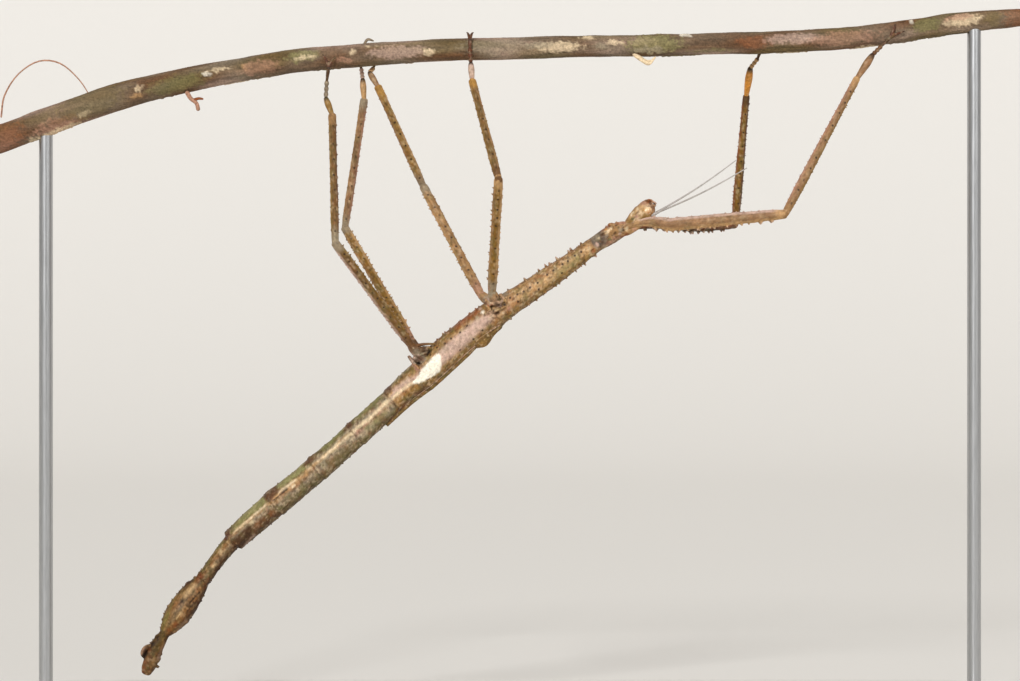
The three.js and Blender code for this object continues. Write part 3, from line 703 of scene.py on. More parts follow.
# Patches of the trunk, the first on top: colour, softness of the edge in mm, share, and the outline
# as (mm along the trunk, mm from its middle towards the back).
patches = (
    ("white", 0.1, 1, ((57.4, 0.1), (56.0, -0.3), (54.8, -0.55), (51.5, -1.12), (48.7, -1.05), (48.3, -0.2),
                       (49.5, 1.3), (50.7, 2.2), (53.2, 1.8), (56.3, 1.0))),
    ("umber", 0.25, 1, ((5.7, -1.3), (6.6, -1.2), (6.4, -0.5), (5.7, -0.4))),
    ("grey", 0.3, 1, ((6.6, -1.9), (8.3, -1.9), (8.7, -1.0), (7.4, -0.2), (6.5, -0.9))),
    ("slate", 0.55, 1, ((6.1, -1.9), (8.8, -1.9), (9.3, -0.5), (8.7, 1.0), (6.2, 1.3), (5.7, -0.2))),
    ("dark", 0.3, 1, ((4.9, 0.1), (5.9, 0.2), (5.9, 1.0), (4.9, 0.8))),
    # This cream patch on the pronotum is a painted highlight.
    ("cream", 0.4, 1, ((4.0, -1.3), (5.4, -1.4), (5.2, -0.5), (4.2, -0.3))),
    ("umber", 0.3, 1, ((2.4, -1.1), (3.1, -1.0), (3.2, 0.6), (2.5, 0.5))),
    ("olive", 0.3, 1, ((1.5, -0.4), (2.3, -0.5), (2.4, 0.8), (1.4, 0.6))),
    ("rust", 0.4, 1, ((0.2, 0.3), (1.8, 0.5), (3.0, 1.0), (2.0, 1.9), (0.2, 1.5))),
    ("rust", 0.3, 1, ((3.2, -1.9), (4.4, -1.9), (4.2, -1.3), (3.2, -1.3))),
    ("rust", 0.3, 1, ((9.3, 0.4), (10.4, 0.5), (10.4, 1.2), (9.5, 1.3))),
    ("leaf", 1.0, 0.7, ((14.0, 0.0), (19.5, 0.0), (19.5, 0.9), (14.0, 0.9))),
    ("rust", 0.8, 0.35, ((29.0, -0.2), (32.5, -0.2), (33, 1.6), (29.0, 1.4))),
    ("umber", 0.3, 1, ((31.9, -0.9), (32.8, -1.0), (33.0, -0.2), (32.0, -0.2))),
    ("umber", 0.3, 1, ((33.2, 0.1), (34.5, -0.1), (34.4, 0.6), (33.4, 0.7))),
    ("lilac", 0.7, 1, ((36.5, -1.0), (42, -1.1), (48, -0.9), (51, 1.3), (46, 1.6), (41, 1.5), (36.5, 0.9))),
    ("rust", 0.8, 1, ((36.5, -3.2), (42, -3.3), (42.5, -2.1), (36.5, -1.9))),
    ("dark", 0.3, 1, ((49.2, -3.0), (50.6, -3.1), (50.7, -2.2), (49.4, -2.1))),
    ("umber", 0.35, 1, ((51.6, -3.2), (54.2, -3.2), (54.0, -1.7), (52.3, -1.6))),
    ("pink", 0.25, 1, ((54.2, -3.3), (55.0, -3.3), (55.2, -1.1), (54.4, -1.2))),
    ("cream", 0.35, 1, ((57.5, -0.1), (60, -0.5), (72, -0.95), (84, -1.2), (84, -0.8), (72, -0.5), (60, 0.0),
                        (57.5, 0.4))),
    ("maroon", 0.5, 0.85, ((60.4, -3.2), (63.6, -3.2), (63.9, -1.7), (62.2, -1.6))),
    ("maroon", 0.5, 0.85, ((72.2, -3.2), (74.9, -3.2), (75.4, -2.0), (73.8, -1.6))),
    ("maroon", 0.5, 0.85, ((82.4, -3.2), (85.6, -3.2), (87.0, -2.2), (84.8, -1.5))),
    ("maroon", 0.35, 1, ((107.4, -3.0), (109.8, -3.0), (110.4, -1.2), (108.4, -0.9))),
    ("lilac", 0.6, 1, ((57.4, -1.4), (61.8, -1.7), (62.0, -0.9), (57.6, -0.5))),
    ("moss", 0.6, 1, ((64.4, -3.0), (71.8, -3.0), (71.4, -2.1), (64.8, -2.1))),
    ("leaf", 0.6, 0.5, ((65.5, 0.2), (71.5, 0.1), (72.0, 1.3), (66.0, 1.5))),
    ("moss", 0.6, 1, ((75.6, -3.0), (81.8, -3.0), (81.4, -2.0), (76.0, -2.0))),
    ("olive", 0.6, 0.6, ((76.0, 0.4), (82.5, 0.3), (83.0, 1.7), (77.0, 1.9))),
    ("leaf", 0.4, 1, ((87, -1.5), (94, -1.9), (94.5, -2.6), (87, -2.7))),
    ("leaf", 0.3, 0.9, ((97.9, -1.5), (107.2, -1.5), (107.0, -2.5), (98.2, -2.9))),
    ("moss", 0.3, 1, ((99.5, -2.0), (105.5, -1.9), (105, -2.3), (99.7, -2.6))),
    ("cream", 0.25, 1, ((98.4, -1.2), (107.6, -1.35), (107.7, -0.95), (98.4, -0.8))),
    ("maroon", 0.5, 0.85, ((93.8, -3.2), (97.9, -3.2), (98.2, -1.6), (97, -0.9), (94.6, -1.5))),
    ("dark", 0.16, 1, ((92.6, -0.86), (96.9, -0.85), (96.9, -0.6), (92.6, -0.65))),
    ("cream", 0.25, 1, ((90.2, -1.3), (94.6, -1.6), (94.8, -1.15), (90.2, -0.9))),
    ("umber", 0.5, 1, ((103.4, 0.1), (108.8, -0.6), (109.6, 0.4), (109.6, 2.6), (104.5, 1.6))),
    ("brown", 0.5, 1, ((105, 0.5), (108.5, 0.3), (108.8, 1.6), (105.4, 1.3))),
    ("lilac", 0.2, 1, ((104.5, 2.0), (109.4, 2.3), (109.4, 2.8), (104.5, 2.4))),
    ("cream", 0.2, 1, ((91.1, -0.6), (91.9, -0.6), (91.9, -0.2), (91.1, -0.2))),
    ("cream", 0.25, 1, ((102.9, -0.5), (103.7, -0.5), (103.7, 0.1), (102.9, 0.1))),
    ("cream", 0.4, 1, ((112.0, -0.9), (113.0, -0.9), (113.0, -0.1), (112.0, -0.1))),
    ("cream", 0.4, 1, ((115.2, -0.2), (116.3, -0.2), (116.3, 0.5), (115.2, 0.5))),
    ("rust", 0.4, 1, ((118.6, -1.4), (120.4, -1.5), (120.6, -0.4), (119.0, -0.3))),
    ("umber", 0.3, 1, ((121, -2.4), (123.4, -2.9), (123.6, -1.9), (121.2, -1.5))),
    ("cream", 0.5, 1, ((121.4, -1.0), (124.6, -1.4), (124.6, -0.5), (121.4, -0.3))),
    ("dark", 0.2, 1, ((122.0, 0.9), (126.0, 0.5), (126.2, 0.8), (122.2, 1.3))),
    ("dark", 0.2, 1, ((124.4, 1.3), (126.6, 1.1), (126.8, 1.5), (124.6, 1.8))),
    ("dark", 0.2, 1, ((125.2, -0.9), (126.4, -1.0), (126.4, -0.6), (125.2, -0.5))),
    ("cream", 0.2, 1, ((127.0, 0.4), (129.2, 0.3), (129.2, 0.5), (127.0, 0.7))),
    ("leaf", 0.4, 1, ((127.0, -2.3), (131.0, -1.9), (133.8, -1.0), (133.8, -0.5), (129.5, -1.3))),
    ("rust", 0.4, 0.6, ((129.4, 0.4), (132.8, 0.1), (132.6, 1.0), (129.8, 1.6))),
    ("lilac", 0.3, 1, ((128.0, 2.2), (132.6, 1.4), (132.6, 1.8), (128.4, 2.7))),
    ("dark", 0.25, 1, ((134.6, -0.9), (137.2, -1.4), (137.4, -0.7), (135.2, -0.3))),
    ("olive", 0.4, 1, ((134.0, -0.2), (139.4, -0.6), (139.4, 0.6), (134.0, 0.4))),
    ("lilac", 0.25, 1, ((135.2, 0.9), (139.6, 1.3), (139.6, 1.9), (135.2, 1.3))),
    ("lilac", 0.3, 1, ((137.4, -3.6), (140.8, -3.6), (140.9, -2.2), (137.6, -2.0))),
    ("dark", 0.3, 1, ((138.2, -2.2), (140.6, -2.2), (140.8, -1.1), (138.6, -1.1))),
)


# How far points lie inside an outline, in its own units: positive inside.
def insideOutline(x, y, outline):
    nearest = np.full(len(x), 1e9)
    inside = np.zeros(len(x), bool)
    for (ax, ay), (bx, by) in zip(outline, outline[1:] + outline[:1]):
        wide, high = bx - ax, by - ay
        share = np.clip(((x - ax) * wide + (y - ay) * high) / (wide ** 2 + high ** 2), 0, 1)
        nearest = np.minimum(nearest, np.hypot(x - ax - share * wide, y - ay - share * high))
        if high:
            inside ^= ((ay > y) != (by > y)) & (x < wide * (y - ay) / high + ax)
    return np.where(inside, nearest, -nearest)


def bandColour(stops, angle):
    marks, names = zip(*stops)
    rows = np.array([colours[name] for name in names])
    return np.stack([np.interp(angle, marks, rows[:, k]) for k in range(3)], axis=-1)


# Small flecks that break up the colours of the whole animal: colour, size in mm, share, and where the
# fine lumps are high (1) or low (-1).
flecks = (("rust", 1.4, 0.35, 1), ("moss", 1.6, 0.45, -1), ("cream", 0.8, 0.35, 1), ("umber", 0.6, 0.6, -1))


def mottled(points, shades, amount=1.0, seed=30):
    fine = 0.5 * lumps(points, 0.4, seed)
    for i, (name, size, share, way) in enumerate(flecks):
        cover = smoothStep(0.12, 0.5, lumps(points, size, seed + 1 + i) + fine * way)
        shades = layColours(shades, (name, share * amount * cover))
    return shades


trunkPaint = {
    "wander": 9,                                # degrees that lumps move the bands
    "band": (0.42, 0.16),                       # half of a length of trunk, and the share of it that blends
    "edge": 0.22,                               # mm that lumps move the edges of the patches
    "calm": 0.4,                                # how much the mottling also covers the first patch
    # Painted shade on the back, growing towards the tail.
    "paintedBackShade": {"along": (60, 115), "most": 0.4},   # the back grows darker towards the tail, in mm along it
    "joint": (4, 12, 0.22, 0.6),                # dark joints from one length to another, width in mm, share
    "cast": ((100, "#ffffff"), (112, "#e4d9c8"), (121, "#cfbda6"), (127, "#dfd0ba"), (132, "#d8c6a0"),
             (136, "#bfa97e"), (141, "#dad0c4")),   # by mm along it: the tail is duller and yellower
}


def trunkColours(points, places, angle, across):
    wobble = lumps(points, 1.6, 3)
    angle = angle + trunkPaint["wander"] * wobble
    half, fade = trunkPaint["band"]
    weights = [np.clip(1 - np.maximum(np.abs(places - (i + 0.5)) - half, 0) / fade, 0, 1)
               for i in range(len(trunkNames))]
    shades = sum(weight[:, None] * bandColour(bands[name], angle)
                 for name, weight in zip(trunkNames, weights))
    shades /= sum(weights)[:, None]
    along = np.interp(places, np.arange(len(jointDistances)), jointDistances)
    shades = mottled(points, shades)
    edge = trunkPaint["edge"] * lumps(points, 0.7, 5)
    for colour, soft, share, outline in patches[::-1]:
        depth = insideOutline(along, across, outline) + edge
        shades = layColours(shades, (colour, share * smoothStep(-soft, soft, depth)))
    calm = smoothStep(0.1, -0.3, insideOutline(along, across, patches[0][-1]))
    shades = mottled(points, shades, trunkPaint["calm"] * calm, 50)
    # Painted shade along the back, growing towards the tail.
    paintedBackShade = trunkPaint["paintedBackShade"]["most"] * smoothStep(*trunkPaint["paintedBackShade"]["along"], along)
    shades *= 1 - (paintedBackShade * smoothStep(75, 35, angle))[:, None]
    marks, casts = zip(*trunkPaint["cast"])
    casts = np.array([hexColour(code)[:3] for code in casts])
    shades *= np.stack([np.interp(along, marks, casts[:, k]) for k in range(3)], axis=-1)
    first, last, wide, share = trunkPaint["joint"]
    joint = np.abs(along[:, None] - jointDistances[first:last]).min(1)
    return layColours(shades, ("umber", share * bell(joint, 0, wide) * (0.6 + 0.4 * wobble)))


# Markings of the legs, for the femur and the tibia: upper edge, face, lower edge, root and tip.
legBands = {
    "fore_left": (("lilac", "fawn", "sand", "tan", "sand"), ("pink", "fawn", "ochre", "tan", "sand")),
    # The far fore leg's darker rust, umber and maroon are painted shade.
    "fore_right": (("tan", "rust", "umber", "rust", "brown"), ("rust", "amber", "maroon", "rust", "umber")),
    "mid_left": (("tan", "amber", "sand", "ash", "sand"), ("ochre", "walnut", "tan", "brown", "honey")),
    "mid_right": (("sand", "tan", "tan", "pink", "ash"), ("tan", "ochre", "sand", "grey", "honey")),
    "hind_left": (("lilac", "walnut", "amber", "brown", "ash"), ("ochre", "walnut", "brown", "ash", "tan")),
    "hind_right": (("tan", "amber", "sand", "pink", "ash"), ("tan", "fawn", "pink", "ash", "ash")),
}
legCalm = {"fore_left": 0.4, "fore_right": 0.75, "mid_left": 0.6, "mid_right": 0.7, "hind_left": 0.7,
           "hind_right": 0.7}   # how mottled a leg is
coxaBands = {"fore": ("tan", "tan", "rust", "tan", "tan"), "mid": ("ash", "ash", "tan", "lilac", "tan"),
             "hind": ("lilac", "ash", "brown", "grey", "brown")}
limbPaint = {
    "face": (25, 70), "lower": (110, 155), "wander": 10,       # degrees from the upper edge
    "root": (4.5, 1.0), "tip": (3.0, 0.8), "endShare": 0.8,    # mm from the ends
    "coxaCalm": 0.9,
}


def limbColours(points, limb, share, angle):
    if limb["kind"] == "coxa":
        rows, calm = coxaBands[limb["pair"]], limbPaint["coxaCalm"]
    else:
        rows, calm = legBands[limb["place"]][limb["kind"] == "tibia"], legCalm[limb["place"]]
    upper, face, lower, root, tip = rows
    length = np.linalg.norm(limb["end"] - limb["start"])
    wobble = lumps(points, 1.1, 9)
    turn = angle + limbPaint["wander"] * wobble
    shades = layColours(colours[upper], (face, smoothStep(*limbPaint["face"], turn)),
                        (lower, smoothStep(*limbPaint["lower"], turn)))
    shades = mottled(points, shades, calm)
    toRoot = smoothStep(*limbPaint["root"], share * length + wobble)
    toTip = smoothStep(*limbPaint["tip"], (1 - share) * length + wobble)
    return layColours(shades, (root, limbPaint["endShare"] * toRoot), (tip, limbPaint["endShare"] * toTip))


# Spots of colour on the head: x, z and size in mm, and colour.
headSpots = (
    (28.5, 113.4, 0.8, "sand"), (28.6, 113.0, 0.5, "honey"), (26.9, 112.1, 0.3, "ochre"),
    (27.2, 111.7, 0.5, "pink"), (27.9, 111.8, 0.45, "tan"), (29.0, 111.9, 0.7, "ochre"),
    (28.6, 111.2, 0.9, "ochre"), (28.2, 110.7, 0.6, "olive"), (30.5, 112.0, 0.5, "rust"),
    (30.7, 113.6, 0.7, "brown"), (31.2, 114.5, 0.5, "umber"), (29.9, 115.0, 0.7, "rust"),
    (28.6, 114.5, 0.7, "pink"), (30.2, 114.4, 0.45, "umber"), (26.2, 110.9, 0.5, "olive"),
    (30.3, 111.5, 0.4, "sand"), (25.9, 110.4, 0.8, "ochre"), (27.4, 112.5, 0.35, "brown"),
)
# Knobs, pits and specks round the hips and on the front of the trunk: x, z, size, height and colour.
# The cream and white specks on raised knobs are painted highlights, and the dark spots in sunken pits and
# grooves and between the hips are painted shade.
hipSpots = (
    (26.4, 112.45, 0.45, 0.2, "cream"), (26.0, 111.9, 0.35, 0.2, "cream"),
    (27.4, 113.3, 0.45, 0.15, "cream"), (28.2, 113.2, 0.5, 0.15, "sand"), (29.4, 115.1, 0.4, 0.1, "brown"),
    (26.7, 111.3, 0.4, -0.1, "olive"), (25.7, 110.6, 1.0, 0.0, "ochre"), (27.1, 110.4, 0.9, 0.0, "sand"),
    (26.4, 111.1, 0.45, -0.1, "deepGreen"), (23.8, 110.4, 0.7, 0.1, "pink"), (24.6, 110.3, 0.5, 0.0, "pink"),
    (25.7, 108.2, 1.0, 0.1, "tan"), (25.0, 107.6, 0.7, 0.0, "rust"), (26.7, 108.8, 0.7, 0.0, "pink"),
    (25.0, 108.9, 0.55, 0.3, "cream"), (23.8, 108.7, 0.75, 0.15, "ash"), (23.5, 107.9, 0.5, 0.0, "lilac"),
    (23.1, 109.3, 0.4, -0.25, "deepGreen"), (22.8, 109.8, 0.35, -0.2, "umber"),
    (22.5, 108.0, 0.45, -0.25, "umber"), (22.4, 107.2, 0.4, 0.1, "pink"), (21.2, 108.6, 0.5, 0.2, "cream"),
    (21.7, 109.1, 0.5, 0.25, "cream"), (22.3, 109.9, 0.45, 0.2, "sand"), (21.2, 109.7, 0.55, 0.1, "rust"),
    (22.0, 110.4, 0.45, 0.2, "rust"), (20.7, 108.9, 0.4, 0.0, "orange"),
    (21.5, 106.8, 0.55, -0.2, "deepGreen"), (20.9, 107.5, 0.55, -0.05, "grey"),
    (20.5, 106.5, 0.5, 0.0, "grey"), (24.3, 109.7, 0.28, -0.2, "umber"), (24.3, 109.2, 0.28, -0.2, "umber"),
    (24.3, 108.6, 0.28, -0.2, "umber"), (24.3, 108.0, 0.28, -0.2, "umber"), (19.1, 107.0, 0.3, 0.1, "cream"),
    (19.0, 107.5, 0.22, 0.1, "ash"), (19.4, 106.3, 0.35, -0.1, "brown"), (19.9, 106.2, 0.35, 0.0, "umber"),
    (18.7, 105.6, 0.7, 0.05, "lilac"), (-6.0, 91.1, 0.5, 0.2, "white"), (-6.4, 91.8, 0.45, 0.1, "lilac"),
    (-5.5, 90.4, 0.35, -0.2, "umber"), (-3.5, 92.1, 0.5, 0.15, "sand"), (-3.9, 92.6, 0.4, -0.1, "rust"),
    (-4.7, 92.4, 0.4, 0.0, "rust"), (-3.5, 91.3, 0.35, -0.15, "umber"), (-4.3, 94.6, 0.9, 0.0, "ash"),
    (-4.3, 93.3, 0.35, 0.15, "cream"), (-4.6, 96.1, 0.5, 0.0, "pink"), (-2.3, 93.8, 0.6, -0.1, "olive"),
    (-2.8, 94.4, 0.3, -0.1, "umber"), (-1.1, 94.9, 0.9, 0.0, "grey"), (1.7, 93.2, 0.35, 0.1, "rust"),
    (-2.9, 92.9, 0.7, 0.0, "umber"), (-5.2, 93.0, 0.6, 0.0, "maroon"), (-4.6, 90.8, 0.5, 0.0, "brown"),
    (-0.3, 92.0, 0.7, 0.0, "pink"), (-1.4, 90.9, 0.4, 0.2, "cream"), (-1.1, 89.8, 0.4, 0.0, "olive"),
    (-7.1, 90.0, 0.5, 0.0, "ash"), (-20.1, 82.7, 1.0, 0.0, "grey"), (-21.6, 82.6, 0.3, 0.1, "white"),
    (-20.7, 83.4, 0.3, 0.1, "cream"), (-19.6, 81.9, 0.4, 0.15, "lilac"), (-18.6, 83.1, 0.9, 0.0, "umber"),
    (-18.3, 83.4, 0.45, -0.2, "dark"), (-20.0, 80.9, 0.7, 0.0, "umber"), (-19.1, 81.1, 1.0, 0.0, "maroon"),
    (-18.2, 82.0, 0.5, 0.1, "brown"), (-19.5, 80.2, 0.5, -0.25, "dark"), (-17.5, 82.5, 0.4, -0.2, "umber"),
    (-18.6, 80.9, 0.3, 0.15, "pink"), (-16.9, 81.7, 0.4, 0.1, "sand"), (-17.0, 83.0, 0.35, 0.0, "deepGreen"),
)


# Pushes the skin out at each knob, and in at each pit.
def raiseSpots(piece):
    points = pointsOf(piece)
    out = np.empty(len(points) * 3)
    piece.data.vertices.foreach_get("normal", out)
    push = np.zeros(len(points))
    for x, z, size, height, name in hipSpots:
        push += height * np.exp(-2 * (np.hypot(points[:, 0] - x, points[:, 2] - z) / size) ** 2)
    movePoints(piece, points + out.reshape(-1, 3) * push[:, None])


# Lays round spots on both sides. The core is the share of a spot's size that has its full colour.
def laySpots(shades, points, spots, wobble, share, core):
    for x, z, size, *height, name in spots:
        gap = np.hypot(points[:, 0] - x, points[:, 2] - z) + wobble
        shades = layColours(shades, (name, share * smoothStep(size, size * core, gap)))
    return shades


# Colour, share, degrees from the top over which it comes in, and degrees that lumps move it.
headBands = (("sand", 1, 20, 60, 15), ("cream", 0.6, 45, 80, 15), ("honey", 1, 105, 125, 10),
             ("olive", 1, 125, 165, 0))


def headColours(points, share, angle):
    wobble = lumps(points, 0.9, 4)
    shades = layColours(colours["tan"], *((name, amount * smoothStep(low, high, angle + wander * wobble))
                                          for name, amount, low, high, wander in headBands))
    shades = mottled(points, layColours(shades, ("pink", 0.6 * smoothStep(0.8, 1.0, share))), 0.25)
    return laySpots(shades, points, headSpots, 0.15 * wobble, 0.85, 0.4)


# Where the small dark pits are: rows along the sides of the trunk and along the legs.
dots = {
    "radius": 0.24, "gap": {"femur": 2.3, "tibia": 3.4}, "ends": (2.5, 2),   # mm, on a leg
    "turns": (98, -98),   # degrees from a leg's upper edge
    "trunk": (   # mm along the trunk and degrees from the back
        (12.6, 104), (14.3, 108), (16.2, 105), (17.5, 109), (19.8, 108), (21.3, 107), (23.7, 99),
        (25.4, 101), (26.9, 101), (28.2, 106), (29.8, 111), (31.6, 96), (29.0, 74), (24.2, 68), (18.6, 66),
        (40.3, 116), (42.2, 112), (44.4, 117), (46.0, 118), (47.8, 128), (50.0, 122), (38.5, 62), (41.0, 58),
        (44.5, 60),
    ),
}


def placeDots():
    spots = [trunkPoint(placeAt(along), math.radians(angle), side)
             for side in (-1, 1) for along, angle in dots["trunk"]]
    for limb in limbs:
        bare = limb["kind"] == "coxa" or (limb["kind"], limb["pair"]) == ("femur", "fore")
        length = np.linalg.norm(limb["end"] - limb["start"])
        for turn in () if bare else dots["turns"]:
            distance = dots["ends"][0]
            while distance < length - dots["ends"][1]:
                angle = math.radians(turn + chance.uniform(-6, 6))
                spots.append(limbPoint(limb, distance / length, angle))
                distance += dots["gap"][limb["kind"]] * chance.uniform(0.7, 1.4)
    return spots


# How far points lie from the nearest pit, in mm, looking straight into it.
def nearestDot(points, spots):
    nearest = np.full(len(points), 1.5)
    for spot, out in spots:
        close = np.linalg.norm(points - spot, axis=1) < 1.2
        gap = points[close] - spot
        gap -= (gap @ out)[:, None] * out
        nearest[close] = np.minimum(nearest[close], np.linalg.norm(gap, axis=1))
    return nearest


# Paints any piece of the body by where its points lie on the trunk, the legs and the head.
def paintBody(piece, tips=None):
    points = pointsOf(piece)
    places, angle, across, best = trunkCoordinates(points)
    shades = trunkColours(points, places, angle, across)
    headLimb = {"kind": "head", "start": np.array(head["neck"]), "end": np.array(head["front"]),
                "radii": head["radii"], "bow": None}
    for limb in (*limbs, headLimb):
        share, angle, over = limbCoordinates(points, limb)
        closer = (over < best) & (share > -0.15) & (share < 1.2)
        if not closer.any():
            continue
        spots, share, angle = points[closer], np.clip(share[closer], 0, 1), angle[closer]
        shades[closer] = (headColours(spots, share, angle) if limb is headLimb
                          else limbColours(spots, limb, share, angle))
        best = np.where(closer, over, best)
    # Hip spots: painted highlights on the knobs and painted shade in the pits, grooves and between the hips,
    # over the skin's own colours.
    shades = laySpots(shades, points, hipSpots, 0.2 * lumps(points, 0.6, 10), 0.8, 0.3)
    pale = smoothStep(0.55, 0.8, shades.min(1))
    shades = shades * (1 + (0.3 - 0.27 * pale) * unevenness(points, ((1, 0.7, 1), (0.5, 2.4, 2))))[:, None]
    if tips:
        shades = layColours(shades, (tips, 0.7 * smoothStep(0.12, 0.45, best)))
    paintPoints(piece, shades)
    markPoints(piece, nearestDot(points, bodyDots), "dot")
    markPoints(piece, pale, "clean")


# Spines: blunt cones in rows. Angles are from the back, and sizes in mm.
spines = {
    "profile": ((-0.25, 1.3), (0.0, 1.0), (0.25, 0.72), (0.6, 0.5), (0.88, 0.36), (1.0, 0.14)), "sides": 6,
    "large": (   # mm along the trunk, degrees from the back, height
        (11.5, 176, 0.5), (14.3, 178, 0.65), (14.9, 170, 0.5), (17.8, 178, 0.7), (19.6, 174, 0.5),
        (20.5, 178, 0.65), (22.1, 175, 0.5), (25.3, 177, 0.6), (29.2, 178, 0.45), (10.0, 4, 0.7),
        (13.4, 6, 0.5), (15.9, 3, 0.65), (18.4, 8, 0.5), (20.2, 4, 0.4), (21.0, 8, 0.4), (25.8, 5, 0.5),
        (32.3, 4, 0.35), (2.1, 172, 0.35), (3.5, 165, 0.4), (4.6, 172, 0.35),
    ),
    "largeRadius": 0.36,
    "rows": (   # first and last mm along the trunk, gap, angle, height, radius
        (10.2, 34.0, 2.0, 24, 0.4, 0.26), (10.0, 33.0, 2.1, 150, 0.4, 0.26),
        (11.0, 33.0, 2.6, 58, 0.22, 0.2), (11.0, 33.0, 2.2, 124, 0.22, 0.2),
        (36.0, 51.0, 1.9, 172, 0.3, 0.3), (37.0, 50.0, 2.3, 150, 0.28, 0.24),
        (57.0, 117.0, 5.2, 172, 0.18, 0.25), (59.0, 133.0, 4.1, 12, 0.2, 0.26),
        (118.0, 138.0, 1.6, 165, 0.3, 0.24),
    ),
    "femur": (2.0, 0.32, 0.2), "tibia": (2.2, 0.2, 0.15),            # gap, height, radius on a leg
    "foreTeeth": (3.4, 0.5, 0.42), "foreTop": (2.4, 0.16, 0.22),     # the same below and above a fore femur
    "edges": (-12, 14, 168, 193),                                    # degrees from a leg's upper edge
    "smooth": {"mid": (168, 193), "hind": (-12, 14)},                # edges that hardly have teeth
    "smoothShare": 0.5,
    "slant": 0.3,    # how far a spine leans towards the tip of its limb
    "sink": 0.04,    # how deep it stands in the skin
}


def makeSpines():
    cone = growTube("spine", spines["profile"], spines["sides"])
    shadeSmooth(cone, 80)
    made = []

    def plant(spot, out, ahead, height, radius):
        lean = out + spines["slant"] * ahead * chance.uniform(-0.2, 1.4)
        size = chance.uniform(0.75, 1.25)
        shape = (radius * size, radius * size, height * size * chance.uniform(0.8, 1.15))
        made.append(copyPiece(cone, frameAlong(spot - spines["sink"] * out, lean, shape)))

    def plantOnTrunk(along, angle, side, height, radius):
        place = placeAt(along)
        spot, out = trunkPoint(place, math.radians(angle), side)
        x, z = alongTrunk(place, trunkAhead)
        plant(spot, out, np.array([x, 0, z]) * -0.5, height, radius)

    for side in (-1, 1):
        for along, angle, height in spines["large"]:
            plantOnTrunk(along, angle, side, height, spines["largeRadius"])
        for start, end, gap, angle, height, radius in spines["rows"]:
            along = start + chance.uniform(0, 0.5) * gap
            while along < end:
                plantOnTrunk(along, angle + chance.uniform(-5, 5), side, height, radius)
                along += gap * chance.uniform(0.7, 1.35)
    for limb in limbs:
        if limb["kind"] == "coxa":
            continue
        ahead = np.array(limbAxes(limb["start"], limb["end"])[0])
        length = np.linalg.norm(limb["end"] - limb["start"])
        fore = limb["kind"] == "femur" and limb["pair"] == "fore"
        for angle in spines["edges"]:
            row = limb["kind"] if not fore else "foreTeeth" if angle > 90 else "foreTop"
            gap, height, radius = spines[row]
            if angle in spines["smooth"].get(limb["pair"], ()):
                height *= spines["smoothShare"]
            reach = 7.5 if fore else 2.2 + chance.uniform(0, 1)
            while reach < length - 1.2:
                turn = math.radians(angle + chance.uniform(-6, 6))
                plant(*limbPoint(limb, reach / length, turn), ahead, height, radius)
                reach += gap * chance.uniform(0.65, 1.4)
    bpy.data.objects.remove(cone)
    return joinPieces("spines", made)


# Eyes: domes that stand out of the sides of the head.
def makeEyes(material):
    for end, side in bothSides:
        x, y, z = head["eye"]
        front, up = head["eyeLean"]
        clearSelection()
        bpy.ops.mesh.primitive_uv_sphere_add(segments=32, ring_count=20, radius=head["eyeRadius"] * mm)
        eye = keepName(f"eye_{end}_dome")
        eye.data.transform(frameAlong((x, side * y, z), (front, side, up), head["eyeShape"]))
        finishPiece(eye, 60, material, "eyes", f"eye_{end}")


# Feelers: two thick joints at the root and a long ringed lash.
def makeFeelers(material):
    for end, side in bothSides:
        lean = Vector(head["feelerLean"][end]).normalized()
        x, y, z = head["feelerRoot"]
        root = Vector((x, side * y, z))
        sag = Vector((0, 0, -head["feelerSag"]))
        joints = [drawTube("joint", [root + lean * reach for reach in reaches], radii, 10, 4)
                  for reaches, radii in head["feelerJoints"]]
        start = head["feelerJoints"][-1][0][-1]   # the lash starts where the joints end
        length = head["feelerLength"] - start
        lash = [root + lean * (start + share * length) + sag * math.sin(math.pi * share)
                for share in (0, 0.25, 0.5, 0.75, 1)]
        line = smoothLine(lash, 18)
        distances = distancesAlong(line)
        radii = np.interp(distances / distances[-1], *head["lashRadii"]).tolist()
        stations = [(distance, radius * head["lashRings"][i % 2])
                    for i, (distance, radius) in enumerate(zip(distances.tolist(), radii))]
        stations.append((stations[-1][0] + 0.1, 0.03))
        piece = growTube("lash", stations, 8)
        bendPoints(piece, line, distances)
        feeler = joinPieces(f"feeler_{end}", [piece, *joints])
        faceOut(feeler)
        finishPiece(feeler, 60, material, "antennae", f"antenna_{end}")


# Mouthparts that lie close to the front of the head: (ahead, up, out) from it in mm, radii and steps.
mouth = {
    "ahead": (0.741, 0, 0.672), "up": (0.672, 0, -0.741),
    "lip": (((0.75, 0.5, -0.8), (0.9, 0.5, 0), (0.75, 0.5, 0.8)), (0.32, 0.45, 0.32), 4),
    "sides": (   # the jaw and two palps
        (((0.1, -0.3, 0.95), (0.5, -0.3, 1.1), (0.85, -0.3, 0.6)), (0.42, 0.45, 0.28), 4),
        (((0.1, -1.0, 0.85), (0.65, -1.2, 1.0), (1.05, -0.75, 0.85), (1.25, -0.05, 0.75), (1.4, 0.5, 0.75)),
         (0.2, 0.3, 0.21, 0.29, 0.2, 0.27, 0.17), 6),
        (((0.2, -1.15, 0.4), (0.65, -1.2, 0.4), (0.95, -0.7, 0.4)), (0.18, 0.25, 0.17, 0.21, 0.14), 5)),
}


def makeMouth():
    axes = np.array([mouth["ahead"], mouth["up"], (0, 1, 0)])
    rows = [(mouth["lip"], 1)] + [(row, side) for side in (-1, 1) for row in mouth["sides"]]
    pieces = [drawTube("mouthpart", head["front"] + np.array(joints) * (1, 1, side) @ axes, radii, 8, steps)
              for (joints, radii, steps), side in rows]
    mouthparts = joinPieces("mouthparts", pieces)
    faceOut(mouthparts)
    return mouthparts


